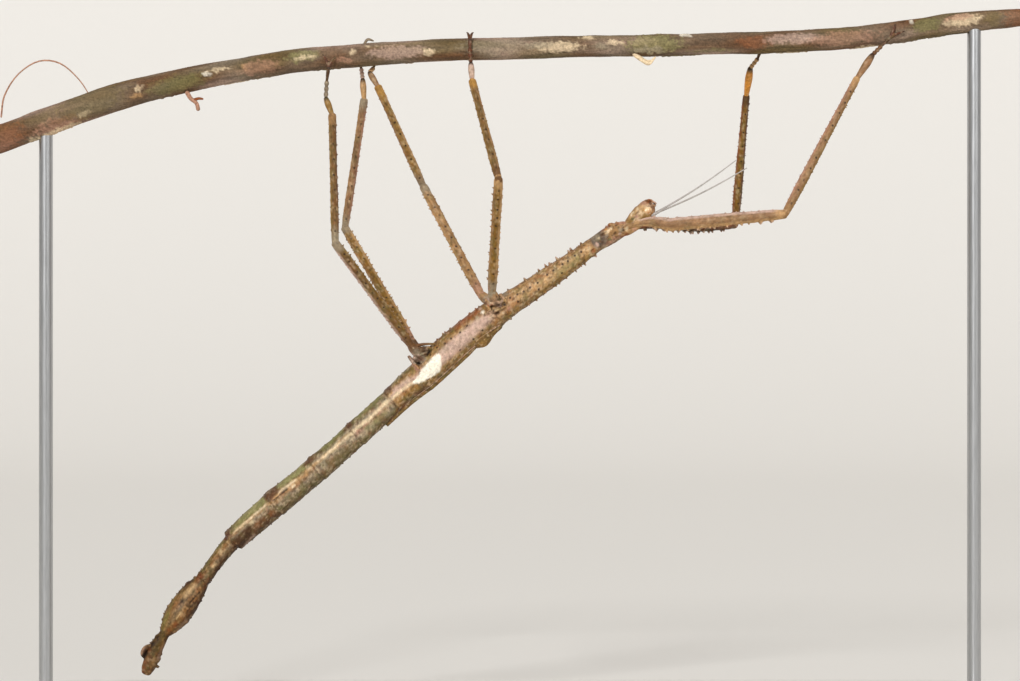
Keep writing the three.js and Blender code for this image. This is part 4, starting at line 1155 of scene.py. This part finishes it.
# Small folds of skin round the hips, and the curled lobes at the tail. Points and radii in mm.
folds = (
    ((-1.2, -3.0, 93.6), (-2.9, -3.7, 93.1), (-5.0, -3.5, 92.6), (0.35, 0.5, 0.3)),
    ((-5.2, -2.4, 93.9), (-4.9, -3.5, 92.9), (-4.4, -3.4, 91.5), (0.3, 0.55, 0.4)),
    ((-1.0, -2.9, 92.4), (-2.4, -3.5, 91.7), (-3.8, -3.3, 91.0), (0.25, 0.38, 0.25)),
    ((-2.2, -3.0, 94.9), (-1.2, -3.1, 93.9), (-0.6, -2.8, 92.9), (0.3, 0.4, 0.2)),
    ((-20.3, -3.6, 83.9), (-18.4, -3.3, 84.2), (-16.2, -2.7, 84.3), (0.4, 0.33, 0.2)),
    ((-21.8, -2.6, 81.6), (-20.8, -3.2, 80.3), (-19.5, -3.3, 79.0), (0.3, 0.4, 0.28)),
    ((-19.8, -2.9, 82.7), (-18.6, -2.8, 83.1), (-17.2, -2.4, 83.2), (0.6, 0.8, 0.6)),
    ((-20.6, -2.6, 81.4), (-19.9, -2.7, 80.9), (-19.0, -2.6, 80.3), (0.55, 0.65, 0.5)),
    ((-19.6, -3.5, 81.6), (-18.7, -3.7, 82.2), (-17.4, -3.3, 82.6), (0.25, 0.3, 0.2)),
    ((23.4, -1.9, 109.7), (24.3, -2.5, 108.9), (24.6, -2.2, 107.9), (0.3, 0.4, 0.3)),
    ((21.3, -1.9, 110.0), (22.3, -2.3, 109.4), (22.5, -2.3, 108.3), (0.3, 0.45, 0.3)),
    ((22.6, -2.1, 107.9), (25.0, -2.7, 108.4), (26.6, -2.9, 109.0), (28.0, -3.1, 109.7),
     (0.6, 0.85, 0.75, 0.5)),
    ((-77.3, -0.5, 19.2), (-78.5, -0.7, 18.6), (-79.0, -0.6, 17.5), (-78.5, -0.4, 16.6),
     (0.5, 0.72, 0.65, 0.4)),
    ((-76.0, -0.9, 17.4), (-75.6, -1.0, 16.4), (-75.9, -0.9, 15.6), (0.3, 0.32, 0.18)),
    ((-78.0, -0.5, 14.6), (-78.2, -0.6, 13.8), (-78.4, -0.6, 13.1), (0.45, 0.35, 0.18)),
    ((-76.6, -0.6, 15.2), (-76.1, -0.7, 14.8), (-75.7, -0.7, 14.6), (0.4, 0.3, 0.18)),
)


def makeFolds():
    return [drawTube("fold", [np.array(point) * (1, side, 1) for point in points], radii, 8, 5)
            for *points, radii in folds for side in (1, -1)]


# Feet: a long first joint, three small ones with pads, the claw joint, two claws and a pad between them.
footColours = {   # first joint, small joints, claw joint
    "fore_left": ("fawn", "brown", "umber"), "fore_right": ("orange", "sand", "umber"),
    "mid_left": ("lilac", "maroon", "maroon"), "mid_right": ("fawn", "sand", "umber"),
    "hind_left": ("ochre", "grey", "umber"), "hind_right": ("sand", "lilac", "maroon"),
}
feet = {   # radii in mm
    "first": {"fore": (0.55, 0.78, 0.95, 0.62), "mid": (0.5, 0.66, 0.78, 0.55),
              "hind": (0.5, 0.66, 0.8, 0.55)},
    "small": (0.3, 0.5, 0.56, 0.4), "claw": (0.28, 0.36, 0.45, 0.38), "hook": (0.38, 0.36, 0.28, 0.13),
    "pad": (0.25, 0.42, 0.3),
    "sole": (0, 0.12, 0),    # how far the small joints bulge
    "tipFrom": 0.78,         # share of a joint where its dark tip starts
}


def makeFoot(place, leg, material):
    ankle, instep, root, end = (np.array(joint) for joint in (leg["ankle"], *leg["foot"]))
    first, small, claw = footColours[place]
    pieces = []

    def add(points, radii, shade):
        piece = drawTube("joint", points, radii, 9, 4)
        spots = pointsOf(piece)
        way = points[-1] - points[0]
        share = np.clip(((spots - points[0]) @ way) / (way @ way), 0, 1)
        paint = layColours(colours[shade], ("dark", smoothStep(feet["tipFrom"], 1.0, share)))
        paintPoints(piece, mottled(spots, paint, 0.5, 61) * (1 + 0.18 * lumps(spots, 0.6, 6)[:, None]))
        leaveUnpitted(piece)
        pieces.append(piece)

    add([ankle, (ankle + instep) / 2, instep], feet["first"][place.split("_")[0]], first)
    sole = np.array(feet["sole"])
    for i in range(3):
        a = instep + (root - instep) * (i / 3 + 0.02)
        b = instep + (root - instep) * ((i + 1) / 3 + 0.04)
        add([a, (a + b) / 2 + sole, b + sole * 2], feet["small"], small)
    add([root, (root + end) / 2, end], feet["claw"], claw)
    ahead = (end - root) / np.linalg.norm(end - root)
    tips = [np.array(tip) for tip in leg["claws"]]
    for tip in tips:
        add([end, end + (tip - end) * 0.55 + ahead * 0.35, tip], feet["hook"], "maroon")
    between = sum(tips) / 2 - end
    add([end, end + between * 0.25, end + between * 0.5], feet["pad"], "brown")
    foot = joinPieces(f"foot_{place}", pieces)
    faceOut(foot)
    finishPiece(foot, 50, material, "feet", f"tarsus_{place}")


# Wings: short leathery covers and small hind wings that lie on the back. Places count lengths of the trunk,
# and angles are degrees from the back.
wings = {
    "tegmen": {"from": 2.0, "to": 2.33, "root": 32, "tip": 46, "over": 0.16, "bulge": 0.95, "gold": 0.35},
    "hind_wing": {"from": 2.26, "to": 4.42, "root": 27, "tip": 14, "over": 0.2, "bulge": 0.15, "gold": 0},
    "thickness": 0.3, "sink": 0.14, "inset": 1.0, "long": 120, "wide": 36, "veins": 6, "veinHeight": 0.07,
    "crossVeins": (70, 2, 9, 0.03),     # turns along, sway, turns of the sway across, height in mm
    "roundTip": 0.18, "roundRoot": 0.1,   # shares of the length
}


def makeWing(kind, end, side, material):
    shape = wings[kind]
    clearSelection()
    bpy.ops.mesh.primitive_grid_add(x_subdivisions=wings["long"], y_subdivisions=wings["wide"], size=mm)
    wing = keepName(f"{kind}_{end}_cover")
    grid = pointsOf(wing)
    share, across = np.clip(grid[:, 0] + 0.5, 0, 1), np.clip(grid[:, 1] + 0.5, 0, 1)
    tip, root = wings["roundTip"], wings["roundRoot"]
    rounded = np.sqrt(np.clip(1 - np.clip((share - (1 - tip)) / tip, 0, 1) ** 2, 0.02, 1))
    rounded *= np.sqrt(np.clip(1 - np.clip((root - share) / root, 0, 1) ** 2 * 0.7, 0, 1))
    reach = (shape["root"] + (shape["tip"] - shape["root"]) * share) * rounded
    angle = np.radians(wings["inset"] + (reach - wings["inset"]) * across)
    centre, back, radius, wide = trunkSection(shape["from"] + (shape["to"] - shape["from"]) * share)
    ridge = wings["veinHeight"] * smoothStep(0.7, 1.0, np.abs((across * wings["veins"]) % 1 - 0.5) * 2)
    turns, sway, swayTurns, height = wings["crossVeins"]
    cross = smoothStep(0.8, 1.0, np.abs(np.sin(share * turns + sway * np.sin(across * swayTurns)))) * height
    lift = shape["bulge"] * np.sin(np.pi * across ** 0.55)
    lift *= np.maximum(np.sin(np.pi * share ** 2.2), 0) ** 1.5
    edge = (1 - smoothStep(0.55, 1.0, across)) * smoothStep(-0.02, 0.1, share)
    radius = radius + (shape["over"] + ridge + cross) * edge + lift - wings["sink"] * (1 - edge)
    out = np.stack([back[:, 0] * np.cos(angle), side * np.sin(angle), back[:, 1] * np.cos(angle)], axis=1)
    points = np.stack([centre[:, 0], 0 * share, centre[:, 1]], axis=1) + out * radius[:, None]
    movePoints(wing, points)
    flow = np.stack([share * 60 * (shape["to"] - shape["from"]), across * 3, 0 * share + side], axis=1)
    bars = lumps(flow, 1, 13) + 0.5 * lumps(flow * (2, 3, 1), 1, 14)
    base = layColours(
        colours["ochre"], ("olive", 0.6 + 0.9 * lumps(points, 2.5, 11)),
        ("umber", 0.6 * smoothStep(0.1, 0.5, bars)), ("rust", 0.45 * smoothStep(0.1, 0.5, -bars)),
        ("lilac", 0.5 * smoothStep(0.93, 1.0, across)),
        ("honey", shape["gold"] * smoothStep(0.3, 0.8, share)),
        ("umber", 0.6 * smoothStep(0.72, 0.84, across) * smoothStep(0.95, 0.88, across)),
        # The pale ash along the inner margin, at the outline of the back, is a painted rim highlight.
        ("ash", 0.7 * smoothStep(0.12, 0.03, across)))
    paintPoints(wing, mottled(points, base, 0.8) * (1 + 0.25 * lumps(points, 0.8, 12)[:, None]))
    leaveUnpitted(wing)
    applyModifier(wing, "SOLIDIFY", thickness=wings["thickness"] * mm, offset=-1)
    faceOut(wing)
    finishPiece(wing, 50, material, "wings", f"{kind}_{end}")


# The perch: a cut length of twig, in mm.
twig = {
    "line": (   # x, z, radius
        (-112.0, 127.7, 3.1), (-84.0, 137.6, 2.9), (-58.2, 143.4, 2.65), (-32.3, 146.5, 2.5),
        (0, 148.0, 2.4), (36.6, 148.7, 2.4), (71.1, 150.1, 2.4), (97.0, 153.4, 2.3), (112.9, 154.8, 1.9),
    ),
    "sides": 16, "ring": 1.5, "bark": 0.11, "crust": 0.16, "round": 2.4,   # the last is its usual radius
    "farSide": ("cream", "ash", "moss", "leaf", "olive", "pink", "brown", "lilac"),   # its stains, by chance
    "crusts": ("cream", "ash", "leaf"),   # those of them that stand out
}
# Crusts and stains: x, height on the camera's side (-1 to 1), length and width in mm, colour and relief.
twigPatches = (
    (-112, 0.0, 7.0, 6.0, "rust", 0), (-97.8, -0.72, 4.2, 1.5, "pink", 1),
    (-97.5, -0.9, 4.6, 0.5, "cream", 1), (-96.0, -0.35, 3.4, 0.5, "brown", 0),
    (-103.2, -0.95, 1.2, 0.9, "cream", 1), (-91.8, -0.5, 1.1, 0.5, "cream", 1),
    (-90, 0.3, 7.0, 3.0, "olive", 0), (-79.8, 0.1, 0.9, 0.7, "cream", 1), (-80.4, -0.4, 0.8, 0.5, "sand", 1),
    (-76, 0.4, 4.0, 1.2, "brown", 0), (-72, -0.3, 6.0, 1.6, "moss", 0), (-65.3, 0.0, 0.7, 0.5, "white", 1),
    (-62.5, 0.2, 2.6, 0.3, "cream", 1), (-57, 0.1, 0.8, 0.7, "sand", 1), (-54, -0.2, 4.0, 1.4, "pink", 0),
    (-44.3, 0.35, 3.4, 1.2, "leaf", 1), (-44.0, 0.15, 2.2, 0.4, "cream", 1),
    (-38.4, 0.1, 2.8, 3.0, "brown", 0), (-33.8, 0.1, 0.9, 0.8, "cream", 1),
    (-36, -0.35, 2.4, 0.5, "pink", 0), (-30, 0.6, 1.3, 0.35, "cream", 1), (-24, 0.0, 6.0, 1.4, "lilac", 0),
    (-17.3, -0.2, 1.4, 0.6, "cream", 1), (-3.5, 0.2, 6.5, 2.2, "ash", 0), (10.5, -0.1, 4.8, 1.2, "cream", 1),
    (6.0, 0.1, 3.0, 0.7, "ash", 1), (16.7, 0.75, 1.7, 0.6, "cream", 1), (19.5, -0.05, 1.8, 0.6, "ash", 1),
    (22.5, 0.2, 1.6, 0.6, "cream", 1), (25.0, 0.2, 0.8, 0.7, "umber", 0), (31.0, 0.1, 5.6, 2.2, "leaf", 1),
    (30.0, -0.5, 3.0, 0.8, "ash", 1), (38.3, 0.8, 1.5, 0.6, "white", 1), (42.5, 0.25, 4.4, 0.55, "umber", 0),
    (43.0, -0.7, 5.0, 0.6, "moss", 0), (52.5, 0.0, 3.6, 1.4, "rust", 0), (60, 0.2, 5.0, 1.2, "lilac", 0),
    (72, -0.1, 7.0, 1.6, "pink", 0), (86.4, 0.6, 0.6, 0.6, "white", 1), (89.5, 0.2, 3.0, 1.6, "moss", 1),
    (97.6, 0.15, 3.6, 1.5, "cream", 1), (96.5, 0.5, 3.0, 0.9, "pink", 1), (104, 0.0, 1.6, 2.4, "olive", 0),
    (110.5, 0.0, 4.2, 4.0, "rust", 0),
)
twigCourse = smoothLine([(x, 0, z) for x, z, radius in twig["line"]], 14)


def twigRadius(x):
    line = np.array(twig["line"])
    return np.interp(x, line[:, 0], line[:, 2])


def makeTwig():
    distances = distancesAlong(twigCourse)
    rings = np.linspace(0, distances[-1], round(distances[-1] / twig["ring"]))
    radii = twigRadius(np.interp(rings, distances, twigCourse[:, 0]))
    stations = [(0.0, radii[0] * 0.5), (0.12, radii[0] * 0.9),
                *zip(rings[1:-1].tolist(), radii[1:-1].tolist()),
                (rings[-1] - 0.12, radii[-1] * 0.9), (rings[-1], radii[-1] * 0.5)]
    piece = growTube("twig_bark", stations, twig["sides"])
    smoothForm(piece, 2)
    points = pointsOf(piece)
    angle = np.arctan2(points[:, 1], points[:, 0])    # 0 towards the back of the scene, once bent
    around = np.stack([np.cos(angle) * twig["round"], np.sin(angle) * twig["round"], points[:, 2]], axis=1)

    def streaks(long, size, seed):   # lumps drawn out along the twig
        return lumps(around * (1, 1, long), size, seed)

    fissures = streaks(0.12, 0.55, 1) + 0.6 * streaks(0.2, 1.3, 2)
    knots = lumps(around * (0.5, 0.5, 0.22), 2.2, 3)
    grain = lumps(around, 0.45, 4)
    x = np.interp(points[:, 2], distances, twigCourse[:, 0])
    base = layColours(colours["grey"], ("brown", 0.5 + 0.7 * streaks(0.25, 2.0, 5)),
                      ("lilac", 0.5 * smoothStep(0.0, 0.6, streaks(0.2, 3.0, 6))),
                      ("olive", 0.6 * smoothStep(0.05, 0.5, streaks(0.3, 4.0, 7))))
    base = base * (0.88 + 0.26 * fissures[:, None] + 0.2 * grain[:, None])
    relief = twig["bark"] * (fissures + 0.35 * grain) + 0.2 * knots
    spots = list(twigPatches)
    for x0 in np.arange(-110, 112, 7.0):   # the far side, the top and the underside
        name = chance.choice(twig["farSide"])
        spots.append((x0 + chance.uniform(-3, 3), chance.uniform(1.4, 2.8), chance.uniform(1, 4.5),
                      chance.uniform(0.5, 1.8), name, name in twig["crusts"]))
    warpX, warpY = 1.1 * lumps(around, 1.3, 8), 0.6 * lumps(around, 1.1, 9)
    # The camera's side has heights from -1, the underside, to 1, the top, and the far side goes on past 1.
    turn = np.arctan2(np.sin(angle), -np.cos(angle))
    for x0, height, long, tall, name, raised in spots:
        centre = math.asin(height) if abs(height) <= 1 else math.pi * (height - 1) / 1.8 + math.pi / 2
        gap = np.abs((turn - centre + math.pi) % (2 * math.pi) - math.pi) * twig["round"]
        depth = 1 - np.hypot((x - x0 + warpX) / long, (gap + warpY) / tall)
        mask = smoothStep(-0.3, 0.3, depth + 0.5 * grain)
        shade = colours[name] * (1 + 0.25 * grain[:, None])
        base = mixColours(base, shade, (0.6 if raised else 0.45) * mask)
        relief += raised * twig["crust"] * mask * (0.6 + 0.8 * (grain + 0.5))
    ends = smoothStep(0.6, 0.0, np.minimum(points[:, 2], distances[-1] - points[:, 2]))
    distance = np.hypot(points[:, 0], points[:, 1])
    cut = ends * smoothStep(0.95, 0.8, distance / twigRadius(x))   # bare wood inside the bark
    base = layColours(base, ("sand", cut))
    points[:, :2] *= (1 + relief * (1 - ends) / np.maximum(distance, 0.5))[:, None]
    movePoints(piece, points)
    bendPoints(piece, twigCourse, distances)
    paintPoints(piece, base)
    return piece


# What grows on the twig: points, radii and colour of a broken side twig and its splinter, a thin dry
# tendril, a tuft and two curls of lichen.
growths = (
    (((-69.5, -1.2, 138.4), (-68.6, -1.6, 137.0), (-67.4, -1.7, 136.0), (-67.0, -1.6, 134.6)),
     (0.55, 0.5, 0.45, 0.5), "pink"),
    (((-68.2, -1.6, 136.6), (-66.9, -1.8, 137.0), (-66.0, -1.8, 136.9)), (0.4, 0.35, 0.25), "rust"),
    (((-109.4, -1.5, 133.0), (-108.6, -2.2, 137.5), (-105.4, -2.6, 142.3), (-101.0, -2.4, 145.0),
      (-96.8, -1.8, 144.6), (-92.6, -1.2, 141.0), (-90.4, -0.8, 137.6)),
     (0.22, 0.2, 0.16, 0.2, 0.15, 0.12), "pink"),
    (((-31.5, -0.6, 148.6), (-30.6, -0.8, 149.8), (-29.4, -0.6, 149.5)), (0.3, 0.35, 0.2), "grey"),
    (((26.6, -1.2, 146.6), (28.4, -1.8, 145.3), (29.8, -2.0, 144.5), (31.2, -1.9, 145.9)),
     (0.5, 0.55, 0.45, 0.2), "cream"),
    (((27.2, -0.8, 146.4), (29.2, -1.4, 145.0), (30.6, -1.6, 145.2)), (0.5, 0.55, 0.45, 0.2), "cream"),
)


def makeGrowth():
    pieces = []
    for points, radii, name in growths:
        piece = drawTube("growth", points, radii, 8, 4)
        paintPoints(piece, colours[name] * (1 + 0.3 * lumps(pointsOf(piece), 0.5, 3)[:, None]))
        pieces.append(piece)
    growth = joinPieces("twig_growth", pieces)
    faceOut(growth)
    return growth


# Insect cuticle is dry, slightly waxy chitin: a broad dull gloss over a fine granular surface.
def cuticleMaterial(name, roughness, grain, bump, speckle):
    material, tree = newMaterial(name)
    place = addNode(tree, "TexCoord").outputs["Object"]
    paint = addNode(tree, "Attribute", {"attribute_name": "paint"}).outputs["Color"]
    dot = addNode(tree, "Attribute", {"attribute_name": "dot"}).outputs["Fac"]
    fine = addNode(tree, "TexNoise", inputs={"Vector": place, "Scale": 1 / (grain * mm), "Detail": 5.0,
                                             "Roughness": 0.65})
    tone = addNode(tree, "MapRange", inputs={"Value": fine.outputs["Fac"], "From Min": 0.32,
                                             "From Max": 0.68, "To Min": 0.78, "To Max": 1.22})
    base = addNode(tree, "Mix", {"data_type": "RGBA", "blend_type": "MULTIPLY"},
                   {0: 1.0, 6: paint, 7: tone.outputs[0]})
    cells = addNode(tree, "TexVoronoi", inputs={"Vector": place, "Scale": 1 / (0.62 * mm)})
    clean = addNode(tree, "Attribute", {"attribute_name": "clean"}).outputs["Fac"]
    amount = addNode(tree, "MapRange", inputs={"Value": clean, "To Min": speckle, "To Max": 0.0})
    specks = addNode(tree, "MapRange", inputs={"Value": cells.outputs["Distance"], "From Min": 0.12,
                                               "From Max": 0.3, "To Min": amount.outputs[0],
                                               "To Max": 0.0})
    base = addNode(tree, "Mix", {"data_type": "RGBA"},
                   {0: specks.outputs[0], 6: base.outputs[2], 7: hexColour("#4d3522")})
    ring = addNode(tree, "MapRange", inputs={"Value": dot, "From Min": dots["radius"] * 0.75,
                                             "From Max": dots["radius"] * 1.5, "To Min": 0.92,
                                             "To Max": 0.0})
    base = addNode(tree, "Mix", {"data_type": "RGBA"},
                   {0: ring.outputs[0], 6: base.outputs[2], 7: hexColour("#2c1a10")})
    gloss = addNode(tree, "MapRange", inputs={"Value": fine.outputs["Fac"], "To Min": roughness + 0.12,
                                              "To Max": roughness - 0.1})
    relief = addNode(tree, "Math", {"operation": "SUBTRACT"},
                     {0: fine.outputs["Fac"], 1: specks.outputs[0]})
    height = addNode(tree, "Bump", inputs={"Strength": bump, "Distance": 0.12 * mm,
                                           "Height": relief.outputs[0]})
    shader = addNode(tree, "BsdfPrincipled", inputs={
        "Base Color": base.outputs[2], "Roughness": gloss.outputs[0], "Specular IOR Level": 0.2,
        "Normal": height.outputs[0]})
    addNode(tree, "OutputMaterial", inputs={"Surface": shader.outputs[0]})
    return material


# A compound eye is smooth and glassy with a pale gold body, and its facets only show close up.
def eyeMaterial():
    material, tree = newMaterial("golden compound eye")
    place = addNode(tree, "TexCoord").outputs["Object"]
    facets = addNode(tree, "TexVoronoi", inputs={"Vector": place, "Scale": 1 / (0.09 * mm)})
    cloud = addNode(tree, "TexNoise", inputs={"Vector": place, "Scale": 1 / (0.8 * mm), "Detail": 3.0})
    tone = addNode(tree, "ValToRGB", inputs={"Fac": cloud.outputs["Fac"]})
    for stop, position, code in zip(tone.color_ramp.elements, (0.35, 0.62), ("#c48a55", "#f2d2a4")):
        stop.position = position
        stop.color = hexColour(code)
    height = addNode(tree, "Bump", inputs={"Strength": 0.25, "Distance": 0.02 * mm,
                                           "Height": facets.outputs["Distance"]})
    shader = addNode(tree, "BsdfPrincipled", inputs={
        "Base Color": tone.outputs[0], "Roughness": 0.22, "IOR": 1.5, "Coat Weight": 0.6,
        "Coat Roughness": 0.08, "Normal": height.outputs[0]})
    addNode(tree, "OutputMaterial", inputs={"Surface": shader.outputs[0]})
    return material


# The feelers are thin grey horn, a little silvery where the light catches their rings.
def feelerMaterial():
    material, tree = newMaterial("grey horn")
    place = addNode(tree, "TexCoord").outputs["Object"]
    cloud = addNode(tree, "TexNoise", inputs={"Vector": place, "Scale": 1 / (1.1 * mm), "Detail": 2.0})
    tone = addNode(tree, "Mix", {"data_type": "RGBA"}, {
        0: cloud.outputs["Fac"], 6: hexColour("#857d76"), 7: hexColour("#c4beb8")})
    shader = addNode(tree, "BsdfPrincipled", inputs={
        "Base Color": tone.outputs[2], "Roughness": 0.4, "IOR": 1.55})
    addNode(tree, "OutputMaterial", inputs={"Surface": shader.outputs[0]})
    return material


# Thin dry bark with lichen crusts: matt and rough, with fine cracks along the twig.
def barkMaterial():
    material, tree = newMaterial("lichened twig bark")
    place = addNode(tree, "TexCoord").outputs["Object"]
    paint = addNode(tree, "Attribute", {"attribute_name": "paint"}).outputs["Color"]
    stretch = addNode(tree, "Mapping", inputs={"Vector": place, "Scale": (0.22, 1, 1)})
    cracks = addNode(tree, "TexNoise", inputs={"Vector": stretch.outputs[0], "Scale": 1 / (0.35 * mm),
                                               "Detail": 5.0, "Roughness": 0.7})
    grit = addNode(tree, "TexNoise", inputs={"Vector": place, "Scale": 1 / (0.4 * mm), "Detail": 4.0})
    both = addNode(tree, "Math", {"operation": "ADD"}, {0: cracks.outputs["Fac"], 1: grit.outputs["Fac"]})
    tone = addNode(tree, "MapRange", inputs={"Value": both.outputs[0], "From Min": 0.7, "From Max": 1.3,
                                             "To Min": 0.6, "To Max": 1.4})
    base = addNode(tree, "Mix", {"data_type": "RGBA", "blend_type": "MULTIPLY"},
                   {0: 1.0, 6: paint, 7: tone.outputs[0]})
    height = addNode(tree, "Bump", inputs={"Strength": 0.6, "Distance": 0.2 * mm,
                                           "Height": both.outputs[0]})
    shader = addNode(tree, "BsdfPrincipled", inputs={
        "Base Color": base.outputs[2], "Roughness": 0.85, "Specular IOR Level": 0.3,
        "Normal": height.outputs[0]})
    addNode(tree, "OutputMaterial", inputs={"Surface": shader.outputs[0]})
    return material


# Satin lacquer on wood: even and pale, with a trace of brush marks.
def lacquerMaterial():
    material, tree = newMaterial("pale satin lacquer")
    place = addNode(tree, "TexCoord").outputs["Object"]
    stretch = addNode(tree, "Mapping", inputs={"Vector": place, "Scale": (0.05, 1, 1)})
    brush = addNode(tree, "TexNoise", inputs={"Vector": stretch.outputs[0], "Scale": 1 / (1.2 * mm),
                                              "Detail": 3.0})
    tone = addNode(tree, "Mix", {"data_type": "RGBA"}, {
        0: brush.outputs["Fac"], 6: hexColour("#dedad2"), 7: hexColour("#e9e6df")})
    height = addNode(tree, "Bump", inputs={"Strength": 0.15, "Distance": 0.05 * mm,
                                           "Height": brush.outputs["Fac"]})
    shader = addNode(tree, "BsdfPrincipled", inputs={
        "Base Color": tone.outputs[2], "Roughness": 0.38, "Coat Weight": 0.2, "Coat Roughness": 0.25,
        "Normal": height.outputs[0]})
    addNode(tree, "OutputMaterial", inputs={"Surface": shader.outputs[0]})
    return material


# Stainless steel rod, drawn and brushed along its length: cool grey with a soft streaky shine.
def steelMaterial():
    material, tree = newMaterial("brushed stainless steel")
    place = addNode(tree, "TexCoord").outputs["Object"]
    stretch = addNode(tree, "Mapping", inputs={"Vector": place, "Scale": (1, 1, 0.04)})
    brush = addNode(tree, "TexNoise", inputs={"Vector": stretch.outputs[0], "Scale": 1 / (0.25 * mm),
                                              "Detail": 3.0})
    tone = addNode(tree, "Mix", {"data_type": "RGBA"}, {
        0: brush.outputs["Fac"], 6: hexColour("#a9abad"), 7: hexColour("#c9cacb")})
    gloss = addNode(tree, "MapRange", inputs={"Value": brush.outputs["Fac"], "To Min": 0.24,
                                              "To Max": 0.42})
    shader = addNode(tree, "BsdfPrincipled", inputs={
        "Base Color": tone.outputs[2], "Metallic": 1.0, "Roughness": gloss.outputs[0]})
    addNode(tree, "OutputMaterial", inputs={"Surface": shader.outputs[0]})
    return material


# The display stand: a flat base, and two rods up to the twig. Sizes in mm.
stand = {"base": (212, 90, 7), "corner": (8, 8), "edge": (1.0, 3),   # radius and steps of the rounding
         "rodPlaces": (-100, 100), "rodRadius": 1.5, "rodSides": 32,
         "collar": (2.9, 2.6, 0.4),   # radius, height and bevel of the collar that a rod stands in
         "saddle": 1.02}              # radius of a rod's hollow end, as a share of the twig's


def makeBase(material):
    clearSelection()
    long, deep, high = (size * mm for size in stand["base"])
    bpy.ops.mesh.primitive_cube_add(size=1, location=(0, 0, high / 2))
    bpy.ops.transform.resize(value=(long, deep, high))
    bpy.ops.object.transform_apply(location=True, rotation=True, scale=True)
    base = keepName("stand_base_board")
    for kind in ("corner", "edge"):
        width, segments = stand[kind]
        bpy.ops.object.mode_set(mode="EDIT")
        bpy.ops.mesh.select_mode(type="EDGE")
        bpy.ops.mesh.select_all(action="DESELECT")
        bpy.ops.object.mode_set(mode="OBJECT")
        for edge in base.data.edges:
            a, b = (base.data.vertices[i].co.z for i in edge.vertices)
            edge.select = abs(a - b) > high / 2 if kind == "corner" else min(a, b) > high * 0.99
        bpy.ops.object.mode_set(mode="EDIT")
        bpy.ops.mesh.bevel(offset=width * mm, segments=segments, affect="EDGES")
        bpy.ops.object.mode_set(mode="OBJECT")
    finishPiece(base, 30, material, "stand_paint", "stand_base")


def makeRod(end, x, material):
    across, up = twigCourse[:, 0], twigCourse[:, 2]
    centre = float(np.interp(x, across, up))
    radius = float(twigRadius(x))
    slope = float(np.interp(x, across, np.gradient(up) / np.gradient(across)))
    high = stand["base"][2]
    thick, tall, bevel = stand["collar"]
    rod = stand["rodRadius"]
    top = high + tall
    stations = [(high, thick), (high + 0.3, thick), (top - bevel, thick), (top, thick - bevel), (top, rod),
                (top + 4, rod), *((z, rod) for z in np.linspace(20, centre - 6, 12)), (centre - 4, rod),
                (centre - radius + 0.6, rod)]
    piece = growTube(f"stand_rod_{end}_bar", stations, stand["rodSides"])
    piece.data.transform(Matrix.Translation((x * mm, 0, 0)))
    points = pointsOf(piece)
    hollow = np.sqrt(np.maximum(radius ** 2 - points[:, 1] ** 2, 0)) * stand["saddle"]
    under = centre + slope * (points[:, 0] - x) - hollow
    points[:, 2] = np.where(points[:, 2] > centre - radius, under, points[:, 2])
    movePoints(piece, points)
    faceOut(piece)
    finishPiece(piece, 30, material, "stand_steel", f"stand_rod_{end}")


setStudio()
print("studio set")
skin = makeTrunk()
weld(skin, [*makeLegs(), makeHead(), *makeFolds(), makeMouth()])
print("skin welded", len(skin.data.vertices), "points")
cuticle = cuticleMaterial("granular insect cuticle", 0.5, 0.42, 0.5, 0.22)
bodyDots = placeDots()
raiseSpots(skin)
paintBody(skin)
finishPiece(skin, 55, cuticle, "cuticle", "head", *trunkNames,
            *[f"{kind}_{place}" for place in legs for kind in ("coxa", "femur", "tibia")])
print("skin painted")
thorns = makeSpines()
paintBody(thorns, "lilac")
finishPiece(thorns, None, cuticle, "cuticle")
print("spines planted")
makeEyes(eyeMaterial())
makeFeelers(feelerMaterial())
footCuticle = cuticleMaterial("smooth foot cuticle", 0.38, 0.5, 0.25, 0.15)
for place, leg in legs.items():
    makeFoot(place, leg, footCuticle)
print("feet made")
wingCuticle = cuticleMaterial("leathery wing cover", 0.55, 0.45, 0.4, 0.2)
for kind in ("tegmen", "hind_wing"):
    for end, side in bothSides:
        makeWing(kind, end, side, wingCuticle)
print("wings laid")
bark = barkMaterial()
finishPiece(makeTwig(), 60, bark, "bark", "perch_twig")
finishPiece(makeGrowth(), 60, bark, "bark")
print("twig grown")
makeBase(lacquerMaterial())
steel = steelMaterial()
for (end, side), x in zip(bothSides, stand["rodPlaces"]):
    makeRod(end, x, steel)
print("stand set")
